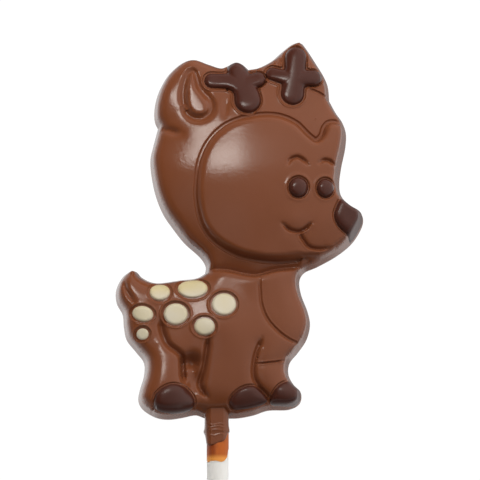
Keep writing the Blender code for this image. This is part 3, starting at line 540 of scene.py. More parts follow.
def rounded_distance(paths, points):
    """A smooth stand-in for the distance to many lines, without the ridges halfway between them.

    One over the fifth power of the distance adds up to 4 / 3 over its fourth power beside a line.
    """
    total = np.full(len(points), 1e-9)
    px, py = np.ascontiguousarray(points[:, 0]), np.ascontiguousarray(points[:, 1])
    for path in paths:
        middles = (path[1:, :2] + path[:-1, :2]) / 2
        lengths = np.linalg.norm(np.diff(path[:, :2], axis=0), axis=1)
        for (x, y), length in zip(middles, lengths):
            square = (px - x) ** 2 + (py - y) ** 2 + BORDER_SOFTNESS
            total += length / (square * square * np.sqrt(square))
    return (3 / 4 * total) ** (-1 / 4)


def ellipse_depth(centre, radii, turn, points):
    """About the signed distance to an ellipse, positive inside."""
    c = math.cos(math.radians(turn))
    s = math.sin(math.radians(turn))
    x = (points[:, 0] - centre[0]) * c + (points[:, 1] - centre[1]) * s
    y = (points[:, 1] - centre[1]) * c - (points[:, 0] - centre[0]) * s
    size = np.sqrt((x / radii[0]) ** 2 + (y / radii[1]) ** 2)
    return (1 - size) * math.sqrt(radii[0] * radii[1])


def antler_form(limbs, softness, in_shares, points):
    """How deep inside an antler's limbs each point lies, in millimetres or shares of the half-width.

    The softness rounds the forks.
    """
    total = np.zeros(len(points))
    for limb in limbs:
        deepest = np.full(len(points), OUTSIDE)
        for x, y, half_width in smooth_path(limb, LIMB_STEP):
            depth = half_width - np.hypot(points[:, 0] - x, points[:, 1] - y)
            deepest = np.maximum(deepest, depth / half_width if in_shares else depth)
        total += np.exp(deepest / softness)
    return softness * np.log(total)


def depth_share(depth_of, reach, points):
    """How deep inside an outline each point lies, as a share of a reach."""
    return depth_of(points) / reach


def dome(depth, reach, flatness=2.0):
    """0 at a form's edge, rising round to 1 at the reach; a larger flatness widens the top."""
    t = np.clip(depth / reach, 0, 1)
    return np.sqrt(np.clip(1 - (1 - t) ** flatness, 0, 1))


def pillow(distance, level):
    """A soft pillow's height at a distance from its border."""
    base, rise, reach = level
    t = np.clip(distance / reach, 0, 1)
    return base + rise * (1 - (1 - t) ** 2)


def bell(distance, width):
    """1 on a line and falling off smoothly beside it."""
    return np.exp(-((distance / width) ** 2))


def smooth_step(share):
    """0 below 0, 1 above 1, with a smooth rise between."""
    t = np.clip(share, 0, 1)
    return t * t * (3 - 2 * t)


def near(points, path, reach):
    """Which points lie in the box round a line."""
    low = path[:, :2].min(axis=0) - reach
    high = path[:, :2].max(axis=0) + reach
    return np.all((points > low) & (points < high), axis=1)


class Inlay:
    """One inlay of coloured chocolate: where it lies, and how its surface stands over the figure."""

    def __init__(self, name, kind, depth_of, box, rise, share_of, ring=0.0):
        self.name = name
        self.moat = MOATS[kind]
        self.crown = CROWNS[kind]
        self.flatness = CREST_FLATNESS[kind]
        self.tilt = ANTLER_TILT if kind == "limb" else (0.0, 0.0)
        self.depth_of = depth_of
        self.share_of = share_of
        self.low, self.high = np.array(box[0]), np.array(box[1])
        self.rise = rise
        self.ring = ring

    def within(self, points, reach):
        """Which points lie in the box round the inlay."""
        return np.all((points > self.low - reach) & (points < self.high + reach), axis=1)


def round_inlay(name, centre, radii, turn, rise, ring, kind):
    """An inlay with an elliptical outline."""
    middle, widest = np.array(centre), max(radii)
    depth_of = partial(ellipse_depth, centre, radii, turn)
    share_of = partial(depth_share, depth_of, ROUND_REACH * radii[1])
    return Inlay(name, kind, depth_of, (middle - widest, middle + widest), rise, share_of, ring)


def edge_inlay(name, outline, rise):
    """An inlay with a free outline, which may run out over the figure's edge."""
    path = smooth_path(outline, OUTLINE_STEP, closed=True)
    depth_of = partial(depth_inside, path)
    box = (path.min(axis=0), path.max(axis=0))
    return Inlay(name, "edge", depth_of, box, rise, partial(depth_share, depth_of, EDGE_REACH))


def limb_inlay(name, limbs):
    """An antler."""
    reach = [(x + s * w, y + s * w) for limb in limbs for x, y, w in limb for s in (-1, 1)]
    box = (np.min(reach, axis=0), np.max(reach, axis=0))
    depth_of = partial(antler_form, limbs, FORK_SOFTNESS, False)
    share_of = partial(antler_form, limbs, SHARE_SOFTNESS, True)
    return Inlay(name, "limb", depth_of, box, ANTLER_DOME, share_of, ANTLER_RING)


class Relief:
    """The figure's lines, laid out once, and the height of its surface over the flat back."""

    def __init__(self):
        self.edge = outer_edge(EDGE_STEP)
        self.face_lines = [smooth_path(row[-1], OUTLINE_STEP) for row in FACE_LINES]
        self.lines = [smooth_path(row[-1], OUTLINE_STEP) for row in CREASES]
        self.lines += [smooth_path(row[-1], LINE_STEP) for row in LINES]
        self.areas = [smooth_path(row[1], OUTLINE_STEP, closed=True) for row in AREAS]
        self.neck = self.lines[0]
        coarse_edge = outer_edge(BORDER_STEP)
        self.body_borders = [np.vstack([coarse_edge, coarse_edge[:1]])]
        below = coarse_edge[:, 1] < np.interp(coarse_edge[:, 0], *self.neck.T)
        self.head_borders = [coarse_edge[: int(np.argmax(below))], smooth_path(CREASES[0][-1], BORDER_STEP)]
        around_face, right_of_brow = self.face_lines
        throat, brow = around_face[0], right_of_brow[-1]
        x, y = self.edge.T
        beside_face = (x > throat[0]) & (y > throat[1]) & (y < brow[1])
        self.face = np.vstack([around_face, right_of_brow[1:], self.edge[beside_face]])
        self.inlays = {row[0]: round_inlay(*row, "round") for row in SPOTS}
        self.inlays.update((row[0], round_inlay(*row, "eye")) for row in EYES)
        self.inlays.update((row[0], edge_inlay(*row)) for row in NOSE + HOOVES)
        self.inlays.update((row[0], limb_inlay(*row)) for row in ANTLERS)

    def depth(self, points):
        """How deep inside the outer edge each point lies."""
        return depth_inside(self.edge, points)

    def hood(self, points):
        """The head outside the face, which rises from the outline inwards."""
        distance = rounded_distance(self.head_borders, points)
        rise = HOOD_SLOPE * distance + HOOD_RISE * (1 - np.exp(-distance / HOOD_REACH))
        away = (points[:, 1] - HOOD_MIDDLE) / HOOD_FALL_REACH
        return HOOD_BASE + rise - HOOD_FALL * (1 - np.exp(-away**2))

    def face_dome(self, points, hood):
        """The face's low dome, whose rounded rim starts just under the head's level."""
        x = points[:, 0] - FACE_CENTRE[0]
        y = points[:, 1] - FACE_CENTRE[1]
        fall = np.where(x < 0, FACE_FALL_LEFT, FACE_FALL_RIGHT) * x**2
        fall += np.where(y > 0, FACE_FALL_TOP, FACE_FALL_BOTTOM) * y**2
        height = FACE_HEIGHT - fall
        t = np.clip((depth_inside(self.face, points) - FACE_RIM_START) / FACE_RIM_REACH, 0, 1)
        return height - (height - hood + FACE_RIM_DROP) * (1 - t) ** 2

    def forms(self, points, depth):
        """The pillows of head, face and body before the lines are cut."""
        height = pillow(rounded_distance(self.body_borders, points), BODY_LEVEL)
        height += BODY_TILT * (BODY_MIDDLE - points[:, 1])
        hood = self.hood(points)
        over_neck = points[:, 1] - np.interp(points[:, 0], *self.neck.T)
        height += (hood - height) * smooth_step(over_neck / NECK_BLEND + 0.5)
        inside = depth_inside(self.face, points)
        off_line = np.minimum(*(nearest_on(path, points)[0] for path in self.face_lines))
        grooved = smooth_step((FACE_LINE_REACH - off_line + np.abs(inside)) / FACE_LINE_BLEND)
        groove = np.interp(inside, *np.transpose(FACE_GROOVE)) * (inside < FACE_STARTS + FACE_OVERLAP)
        height += grooved * groove
        in_face = smooth_step((inside - FACE_STARTS) / FACE_BLEND)
        place, rise, width = FACE_LIP
        face = self.face_dome(points, hood) + rise * grooved * bell(inside - place, width)
        height += (face - height) * in_face
        steep = WALL_SHARE * np.clip(depth / WALL_LEAN, 0, 1)
        reach = np.interp(points[:, 0], *EDGE_ROUNDING)
        wall = steep + (1 - WALL_SHARE) * dome((depth - WALL_LEAN) / reach, 1.0)
        return height, wall

    def drawn_lines(self, points):
        """Creases and fine lines."""
        height = np.zeros(len(points))
        for (_, depth, half_width, floor, valley, _), path in zip(CREASES + LINES, self.lines):
            picked = near(points, path, CREASE_REACH * (VALLEY_WIDTH if valley else half_width))
            distance, run, length = nearest_on(path, points[picked])
            share = np.clip(np.minimum(run, length - run) / CREASE_FADE + CREASE_END, 0, 1)
            if floor:
                cut = depth * smooth_step((floor + FLOOR_WALL - distance) / FLOOR_WALL)
                cut -= LIP_HEIGHT * bell(distance - floor - LIP_PLACE * FLOOR_WALL, LIP_WIDTH)
            else:
                cut = depth * bell(distance, half_width)
            height[picked] -= share * (cut + valley * bell(distance, VALLEY_WIDTH))
        for (_, _, rise, reach), path in zip(AREAS, self.areas):
            picked = near(points, path, 0.0)
            height[picked] += rise * smooth_step(depth_inside(path, points[picked]) / reach)
        for _, centre, radii, rise in SWELLINGS:
            reach = ((points - centre) / radii) ** 2
            height += rise * np.exp(-reach.sum(axis=1))
        for centre, radius, rim, hole in BUBBLES:
            distance = np.hypot(*(points - centre).T)
            height += rim * bell(distance - radius, BUBBLE_RIM)
            height -= hole * smooth_step((radius - distance) / BUBBLE_WALL)
        return height

    def moats(self, points):
        """The furrow round each inlay and the thin ring outside it."""
        height = np.zeros(len(points))
        for inlay in self.inlays.values():
            picked = inlay.within(points, MOAT_REACH)
            depth = inlay.depth_of(points[picked])
            deep, width, wall, ring_width = inlay.moat
            height[picked] -= deep * smooth_step((depth + width + wall) / wall)
            height[picked] += inlay.ring * bell(depth + width + wall + ring_width / 2, ring_width)
        return height

    def surface(self, points):
        """Height of the milk chocolate, as if the inlays weren't there, but with their moats."""
        height, wall = self.forms(points, self.depth(points))
        height += self.drawn_lines(points) + self.moats(points)
        return np.maximum(height * wall, WALL_FOOT)

    def pocketed(self, points):
        """The same with a pocket under each inlay."""
        height = self.surface(points)
        for inlay in self.inlays.values():
            picked = inlay.within(points, 0.0)
            depth = inlay.depth_of(points[picked])
            height[picked] -= POCKET_DEPTH * np.clip((depth - POCKET_INSET) / POCKET_WALL, 0, 1)
        return np.maximum(height, WALL_FOOT)

    def over_inlay(self, inlay, points):
        """Height of an inlay's own surface, which dips under the figure's at its rim."""
        depth = inlay.depth_of(points)
        rim = dome(depth + RIM_START, RIM_REACH)
        crown = inlay.crown * (1 - (1 - np.clip(depth / CROWN_REACH, 0, 1)) ** 2)
        rise = inlay.rise * dome(inlay.share_of(points), 1.0, inlay.flatness)
        rise += (points - (inlay.low + inlay.high) / 2) @ np.array(inlay.tilt)
        return self.surface(points) + (inlay.moat[0] + RIM_DIP) * rim - RIM_DIP + rise + crown

    def detail_distance(self, points):
        """How far each point lies from the nearest drawn line or inlay's rim."""
        nearest = np.full(len(points), FAR)
        for path in self.face_lines:
            picked = near(points, path, FACE_LINE_SEARCH)
            inside = depth_inside(self.face, points[picked])
            off_line = nearest_on(path, points[picked])[0] - FACE_OVERLAP
            off_groove = np.maximum(np.abs(inside - FACE_STARTS / 2), off_line)
            nearest[picked] = np.minimum(nearest[picked], off_groove)
        for path in self.lines:
            picked = near(points, path, LINE_SEARCH)
            nearest[picked] = np.minimum(nearest[picked], nearest_on(path, points[picked])[0])
        for centre, radius, _, _ in BUBBLES:
            nearest = np.minimum(nearest, np.maximum(np.hypot(*(points - centre).T) - radius, 0))
        for inlay in self.inlays.values():
            picked = inlay.within(points, MOAT_REACH)
            _, width, wall, _ = inlay.moat
            beside = np.abs(inlay.depth_of(points[picked]) + (width + wall) / 2)
            nearest[picked] = np.minimum(nearest[picked], beside)
        return nearest


def gradient(depth_of, points):
    """Direction in which a depth grows."""
    across = np.array([SLOPE_STEP, 0.0])
    along = np.array([0.0, SLOPE_STEP])
    x = depth_of(points + across) - depth_of(points - across)
    y = depth_of(points + along) - depth_of(points - along)
    return np.stack([x, y], axis=1) / (2 * SLOPE_STEP)


def flat_places(verts):
    """The places of points, seen from above."""
    return np.array([(v.co.x, v.co.y) for v in verts])


def sheet_within(depth_of, low, high, step, inset, detail_of=None):
    """A fine square mesh, cut to the line at this depth inside an outline and fitted to it."""
    columns = math.ceil((high[0] - low[0]) / step)
    rows = math.ceil((high[1] - low[1]) / step)
    size = Matrix.Diagonal((columns * step, rows * step, 1, 1))
    place = Matrix.Translation((low[0] + columns * step / 2, low[1] + rows * step / 2, 0)) @ size
    bm = bmesh.new()
    bmesh.ops.create_grid(bm, x_segments=columns, y_segments=rows, size=0.5, matrix=place)
    if detail_of:
        depth = depth_of(flat_places(bm.verts))
        outside = [v for v, d in zip(bm.verts, depth) if d < -2 * step]
        bmesh.ops.delete(bm, geom=outside, context="VERTS")
        for band in FINE_BANDS:
            places = flat_places(bm.verts)
            fine = detail_of(places) < band
            if band == FINE_BANDS[0]:
                fine |= depth_of(places) < EDGE_BAND
            halved = [e for e in bm.edges if fine[e.verts[0].index] or fine[e.verts[1].index]]
            bmesh.ops.subdivide_edges(bm, edges=halved, cuts=1, use_grid_fill=True)
            bm.verts.index_update()
        step /= 2
    depth = depth_of(flat_places(bm.verts))
    loose = [v for v, d in zip(bm.verts, depth) if d < inset + CUT_SHARE * step]
    while loose:
        bmesh.ops.delete(bm, geom=loose, context="VERTS")
        open_edges = {v: sum(e.is_boundary for e in v.link_edges) for v in bm.verts}
        loose = [v for v, count in open_edges.items() if not v.link_faces or count > 2]
    rim = [v for v in bm.verts if v.is_boundary]
    places = flat_places(rim)
    for _ in range(ROUNDS):
        slope = gradient(depth_of, places)
        steep = np.maximum((slope**2).sum(axis=1), LEAST_SLOPE)
        places += slope * ((inset - depth_of(places)) / steep)[:, None]
    for vert, (x, y) in zip(rim, places):
        vert.co.x, vert.co.y = x, y
    fitted = set(rim)
    beside = {e.other_vert(v) for v in rim for e in v.link_edges} - fitted
    second = {e.other_vert(v) for v in beside for e in v.link_edges} - fitted
    eased = list(beside | second)
    for _ in range(ROUNDS):
        bmesh.ops.smooth_vert(bm, verts=eased, factor=0.5, use_axis_x=True, use_axis_y=True)
    return bm


def raise_to(bm, heights):
    """Lifts each point of a flat mesh to its height."""
    for vert, z in zip(bm.verts, heights):
        vert.co.z = z


def extrude_rim(bm, rings, place, outward=None):
    """Extrudes the open rim ring by ring.

    place gives a ring's point from its first place, its way outward and the share of the rings.
    """
    places = bm.verts.layers.float_vector.new("first place")
    ways = bm.verts.layers.float_vector.new("outward")
    rim = [v for v in bm.verts if v.is_boundary]
    out = outward(flat_places(rim)) if outward else np.zeros((len(rim), 2))
    for vert, (x, y) in zip(rim, out):
        vert[places] = vert.co
        vert[ways] = (x, y, 0)
    edges = [e for e in bm.edges if e.is_boundary]
    for ring in range(1, rings + 1):
        made = bmesh.ops.extrude_edge_only(bm, edges=edges)["geom"]
        for vert in (item for item in made if isinstance(item, bmesh.types.BMVert)):
            vert.co = place(vert[places], vert[ways], ring / rings)
        edges = [item for item in made if isinstance(item, bmesh.types.BMEdge)]
    return edges


def close_below(bm, edges):
    """Closes the bottom of a cast piece with a flat face."""
    bottom = bmesh.ops.holes_fill(bm, edges=[e for e in edges if e.is_boundary], sides=0)["faces"]
    bmesh.ops.triangulate(bm, faces=bottom)
    bmesh.ops.recalc_face_normals(bm, faces=bm.faces)


def round_bar(bm, radius, top, bottom, axis_z, segments):
    """A capped round bar along the stick's axis. Gives its two caps."""
    place = Matrix.Translation((0, (top + bottom) / 2, axis_z)) @ Matrix.Rotation(math.pi / 2, 4, "X")
    bmesh.ops.create_cone(
        bm,
        cap_ends=True,
        segments=segments,
        radius1=radius,
        radius2=radius,
        depth=top - bottom,
        matrix=place,
    )
    return [f for f in bm.faces if len(f.verts) > 4]


def finish_piece(name, bm, surface, nodes=()):
    """Turns a bmesh in millimetres into a piece of the object in metres."""
    bmesh.ops.scale(bm, vec=(MM, MM, MM), verts=bm.verts)
    mesh = bpy.data.meshes.new(name)
    bm.to_mesh(mesh)
    bm.free()
    for layer in ("first place", "outward"):
        if layer in mesh.attributes:
            mesh.attributes.remove(mesh.attributes[layer])
    mesh.materials.append(surface)
    mesh.shade_smooth()
    piece = bpy.data.objects.new(name, mesh)
    bpy.context.scene.collection.objects.link(piece)
    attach(piece, "root")
    if nodes:
        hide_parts(*nodes)


def node(tree, kind, settings=None, links=None, values=None):
    """Adds a shader node with its settings, incoming links and socket values."""
    made = tree.nodes.new(kind)
    for key, value in (settings or {}).items():
        setattr(made, key, value)
    for key, value in (values or {}).items():
        made.inputs[key].default_value = value
    for key, source in (links or {}).items():
        tree.links.new(source, made.inputs[key])
    return made


def new_surface(name):
    """An empty node material, its tree, and the places on the piece."""
    made = bpy.data.materials.new(name)
    made.use_nodes = True
    tree = made.node_tree
    tree.nodes.clear()
    return made, tree, node(tree, "ShaderNodeTexCoord").outputs["Object"]


def finish_surface(tree, tone, pattern, rough, bumps, values):
    """Ends a material: a pattern varies the roughness, and each bump lies over the one before it.

    A bump is its pattern, height in millimetres and strength.
    """
    ends = {"To Min": rough[0], "To Max": rough[1]}
    gloss = node(tree, "ShaderNodeMapRange", links={"Value": pattern}, values=ends)
    links = {"Base Color": tone.outputs["Result"], "Roughness": gloss.outputs["Result"]}
    for heights, size, strength in bumps:
        below = {"Normal": links["Normal"]} if "Normal" in links else {}
        bump = node(
            tree,
            "ShaderNodeBump",
            links={"Height": heights, **below},
            values={"Distance": size * MM, "Strength": strength},
        )
        links["Normal"] = bump.outputs["Normal"]
    shader = node(tree, "ShaderNodeBsdfPrincipled", links=links, values=values)
    node(tree, "ShaderNodeOutputMaterial", links={"Surface": shader.outputs["BSDF"]})


def chocolate(name, colour, pale, rough, mottle, bump_mm, aged=None):
    """Tempered chocolate from a polished mould: satin gloss over faint clouds of cocoa butter.

    Between two heights up the figure its colour may turn to that of the clouds.
    """
    made, tree, places = new_surface(name)
    clouds, grain, waves = (
        node(
            tree,
            "ShaderNodeTexNoise",
            links={"Vector": places},
            values={"Scale": 1 / (size * MM), "Detail": detail},
        ).outputs["Fac"]
        for size, detail in ((CLOUD_SIZE, 3.0), (GRAIN_SIZE, 2.0), (WAVE_SIZE, 2.0))
    )
    share = node(
        tree,
        "ShaderNodeMapRange",
        links={"Value": clouds},
        values={"From Min": CLOUD_BAND[0], "From Max": CLOUD_BAND[1], "To Max": mottle},
    )
    if aged:
        axes = node(tree, "ShaderNodeSeparateXYZ", links={"Vector": places})
        upper = node(
            tree,
            "ShaderNodeMapRange",
            {"interpolation_type": "SMOOTHSTEP"},
            {"Value": axes.outputs["Y"]},
            {"From Min": aged[0] * MM, "From Max": aged[1] * MM, "To Max": AGED_SHARE},
        )
        shares = {0: share.outputs["Result"], 1: upper.outputs["Result"]}
        share = node(tree, "ShaderNodeMath", {"operation": "ADD"}, shares)
    tone = node(
        tree,
        "ShaderNodeMix",
        {"data_type": "RGBA"},
        {"Factor": share.outputs[0]},
        {"A": (*colour, 1), "B": (*pale, 1)},
    )
    rough_ends = (rough - ROUGH_SPREAD[0], rough + ROUGH_SPREAD[1])
    bumps = ((waves, bump_mm, 1.0), (grain, GRAIN_BUMP, 1.0))
    finish_surface(tree, tone, grain, rough=rough_ends, bumps=bumps, values={"IOR": 1.48})
    return made


def paper(name, colour, shade):
    """Rolled white paper: matt, slightly translucent and faintly fibrous along its length."""
    made, tree, places = new_surface(name)
    drawn_out = {"Scale": (1, FIBRE_STRETCH, 1)}
    along = node(tree, "ShaderNodeMapping", links={"Vector": places}, values=drawn_out)
    fibres = node(
        tree,
        "ShaderNodeTexNoise",
        links={"Vector": along.outputs["Vector"]},
        values={"Scale": 1 / (FIBRE_SIZE * MM), "Detail": 3.0},
    ).outputs["Fac"]
    tone = node(
        tree,
        "ShaderNodeMix",
        {"data_type": "RGBA"},
        {"Factor": fibres},
        {"A": (*colour, 1), "B": (*shade, 1)},
    )
    glow = {"Subsurface Weight": 0.6, "Subsurface Radius": (1, 1, 1), "Subsurface Scale": PAPER_DEPTH * MM}
    bumps = ((fibres, 0.03, 0.8),)
    finish_surface(tree, tone, fibres, rough=(0.55, 0.75), bumps=bumps, values={"IOR": 1.47, **glow})
    return made


def caramel(name, amber, deep, golden):
    """Thin film of burnt milk sugar and fat: orange where thin, brown where it pooled, golden below."""
    made, tree, places = new_surface(name)
    drawn_out = {"Scale": (1, STREAK_STRETCH, 1)}
    along = node(tree, "ShaderNodeMapping", links={"Vector": places}, values=drawn_out)
    streaks = node(
        tree,
        "ShaderNodeTexNoise",
        links={"Vector": along.outputs["Vector"]},
        values={"Scale": 1 / (STREAK_SIZE * MM), "Detail": 2.0},
    ).outputs["Fac"]
    axes = node(tree, "ShaderNodeSeparateXYZ", links={"Vector": places})
    side = node(
        tree,
        "ShaderNodeMath",
        {"operation": "MULTIPLY_ADD"},
        {0: streaks, 2: axes.outputs["X"]},
        {1: STREAK_SWAY * MM},
    )
    turns = ((side.outputs["Value"], AMBER_SPAN, amber), (axes.outputs["Y"], GOLDEN_SPAN, golden))
    tone = None
    for value, (start, end), new in turns:
        share = node(
            tree,
            "ShaderNodeMapRange",
            {"interpolation_type": "SMOOTHSTEP"},
            {"Value": value},
            {"From Min": start * MM, "From Max": end * MM},
        )
        links = {"Factor": share.outputs["Result"]}
        if tone:
            links["A"] = tone.outputs["Result"]
        tone = node(tree, "ShaderNodeMix", {"data_type": "RGBA"}, links, {"A": (*deep, 1), "B": (*new, 1)})
    bumps = ((streaks, 0.06, 0.7),)
    finish_surface(tree, tone, streaks, rough=(0.4, 0.6), bumps=bumps, values={"IOR": 1.5})
    return made


def shared(name, colour, pale, **finish):
    """A chocolate that several pieces use, made once."""
    return bpy.data.materials.get(name) or chocolate(name, colour, pale, **finish)


def milk(colours):
    """Milk chocolate with the mould's polish."""
    tints = (colours.milk, colours.milk_pale)
    return shared("Milk chocolate, moulded", *tints, rough=0.145, mottle=0.6, bump_mm=0.02)


def dark(colours):
    """Dark chocolate with the mould's polish."""
    tints = (colours.dark, colours.dark_pale)
    return shared("Dark chocolate, moulded", *tints, rough=0.2, mottle=0.6, bump_mm=0.02)


def rubbed_dark(colours):
    """Dark chocolate that lost its polish at the figure's edge, where it is handled."""
    tints = (colours.dark, colours.dark_pale)
    return shared("Dark chocolate, rubbed", *tints, rough=0.3, mottle=0.6, bump_mm=0.03)


def white(colours):
    """White chocolate, duller and yellower towards the top of the body."""
    tints = (colours.white, colours.white_pale)
    finish = {"rough": 0.36, "mottle": 0.5, "bump_mm": 0.02, "aged": AGED_SPAN}
    return shared("White chocolate, moulded", *tints, **finish)


def length(name, description, default, **more):
    """A length that a user can change, in metres, from millimetres."""
    return bpy.props.FloatProperty(
        name=name, description=description, default=default * MM, unit="LENGTH", **more
    )


def colour(name, description, code):
    """A linear colour that a user can change."""
    return bpy.props.FloatVectorProperty(
        name=name, description=description, default=linear(code), subtype="COLOR", size=3, min=0.0, max=1.0
    )


class FawnSizes(bpy.types.PropertyGroup):
    """Sizes of the meshes and of the stick."""

    figure_step: length("Figure mesh", "Spacing of the figure's coarse mesh", 0.47, min=0.0001)
    inlay_step: length("Inlay mesh", "Spacing of the inlays' surface mesh", 0.14, min=0.0001)
    stick_radius: length("Stick radius", "Radius of the paper stick", 2.5, min=0.001)


class FawnColours(bpy.types.PropertyGroup):
    """Colours of the chocolates and the paper."""

    milk: colour("Milk chocolate", "Base colour of the figure", "#7c462b")
    milk_pale: colour("Milk chocolate clouds", "Colour of the figure's paler clouds", "#804a31")
    dark: colour("Dark chocolate", "Base colour of antlers, eyes, nose and hooves", "#4a251b")
    dark_pale: colour("Dark chocolate clouds", "Colour of the dark pieces' paler clouds", "#532c22")
    white: colour("White chocolate", "Base colour of the spots", "#d6cdba")
    white_pale: colour("White chocolate clouds", "Colour of the spots' yellower clouds", "#d0bf8c")
    paper: colour("Paper", "Base colour of the stick", "#f6f4f1")
    paper_shade: colour("Paper fibres", "Colour between the paper's fibres", "#eeece8")
    amber: colour("Amber", "Thin part of the stain on the stick", "#bd5c0a")
    caramel: colour("Caramel", "Deep part of the stain on the stick", "#9a4410")
    golden: colour("Golden", "Lower edge of the stain on the stick", "#ec9a42")


class FawnStage(bpy.types.PropertyGroup):
    """The camera's view."""

    elevation: bpy.props.FloatProperty(
        name="Camera elevation",
        description="Angle of the view above the table",
        default=math.radians(82),
        subtype="ANGLE",
    )
    frame_width: length("Frame width", "Width of the table that the frame shows", 112.2)
    lens: bpy.props.FloatProperty(name="Lens", description="Focal length", default=300.0, unit="CAMERA")


@cache
def relief_of():
    """The relief, worked out once for all pieces."""
    return Relief()


class FAWN_OT_figure(bpy.types.Operator):
    """Builds the moulded milk chocolate figure on its flat back"""

    bl_idname = "fawn.figure"
    bl_label = "Moulded figure"

    def execute(self, context):
        sizes = context.scene.fawn_sizes
        relief = relief_of()
        low = relief.edge.min(axis=0)
        high = relief.edge.max(axis=0)
        step = sizes.figure_step / MM
        bm = sheet_within(relief.depth, low, high, step, WALL_LEAN, relief.detail_distance)
        raise_to(bm, relief.pocketed(flat_places(bm.verts)))

        def outward(places):
            slope = gradient(relief.depth, places)
            return -slope / np.maximum(np.linalg.norm(slope, axis=1), LEAST_SLOPE)[:, None]

        def place(first, out, share):
            x, y = first.x + out.x * WALL_LEAN * share, first.y + out.y * WALL_LEAN * share
            return (x, y, first.z + (WALL_FOOT - first.z) * share)

        edges = extrude_rim(bm, WALL_RINGS, place, outward)
        foot = bmesh.ops.extrude_edge_only(bm, edges=edges)["geom"]
        for item in foot:
            if isinstance(item, bmesh.types.BMVert):
                item.co.z = 0
        close_below(bm, [item for item in foot if isinstance(item, bmesh.types.BMEdge)])
        bmesh.ops.remove_doubles(bm, verts=bm.verts, dist=MERGE_WITHIN)
        finish_piece("fawn_figure", bm, milk(context.scene.fawn_colours), ["figure"])
        return {"FINISHED"}


def cast_inlay(relief, inlay, step, surface):
    """Builds one inlay: its surface from rim to rim, a short skirt and a flat underside."""

    def depth_of(points):
        """Where both the inlay and the figure's wall leave room."""
        return np.minimum(inlay.depth_of(points), relief.depth(points) - WALL_LEAN / 2)

    def place(first, out, share):
        return (first.x, first.y, first.z - SKIRT * share)

    bm = sheet_within(depth_of, inlay.low - INLAY_MARGIN, inlay.high + INLAY_MARGIN, step, -INLAY_OVERLAP)
    raise_to(bm, relief.over_inlay(inlay, flat_places(bm.verts)))
    close_below(bm, extrude_rim(bm, SKIRT_RINGS, place))
    finish_piece(f"{inlay.name}_cast", bm, surface, [inlay.name])


class FAWN_OT_spots(bpy.types.Operator):
    """Builds the white chocolate spots"""

    bl_idname = "fawn.spots"
    bl_label = "White spots"

    def execute(self, context):
        relief = relief_of()
        step = context.scene.fawn_sizes.inlay_step / MM
        surface = white(context.scene.fawn_colours)
        for row in SPOTS:
            cast_inlay(relief, relief.inlays[row[0]], step, surface)
        return {"FINISHED"}


class FAWN_OT_dark_inlays(bpy.types.Operator):
    """Builds the antlers, eyes, nose and hooves of dark chocolate"""

    bl_idname = "fawn.dark_inlays"
    bl_label = "Antlers, eyes, nose and hooves"

    def execute(self, context):
        relief = relief_of()
        step = context.scene.fawn_sizes.inlay_step / MM
        glossy = dark(context.scene.fawn_colours)
        rubbed = rubbed_dark(context.scene.fawn_colours)
        for row in ANTLERS + EYES + NOSE + HOOVES:
            surface = rubbed if row in HOOVES + NOSE else glossy
            cast_inlay(relief, relief.inlays[row[0]], step, surface)
        return {"FINISHED"}


class FAWN_OT_stick(bpy.types.Operator):
    """Builds the rolled paper stick"""

    bl_idname = "fawn.stick"
    bl_label = "Paper stick"

    def execute(self, context):
        low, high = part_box("stick")
        radius = context.scene.fawn_sizes.stick_radius / MM
        bm = bmesh.new()
        ends = round_bar(bm, radius, high.y / MM, low.y / MM, (low.z + high.z) / 2 / MM, STICK_SEGMENTS)
        rims = [e for f in ends for e in f.edges]
        bmesh.ops.bevel(
            bm, geom=rims, offset=STICK_ROUNDING, segments=3, affect="EDGES", profile=0.5, material=-1
        )
        colours = context.scene.fawn_colours
        surface = paper("Paper, rolled", colours.paper, colours.paper_shade)
        finish_piece("paper_stick", bm, surface, ["stick"])
        return {"FINISHED"}


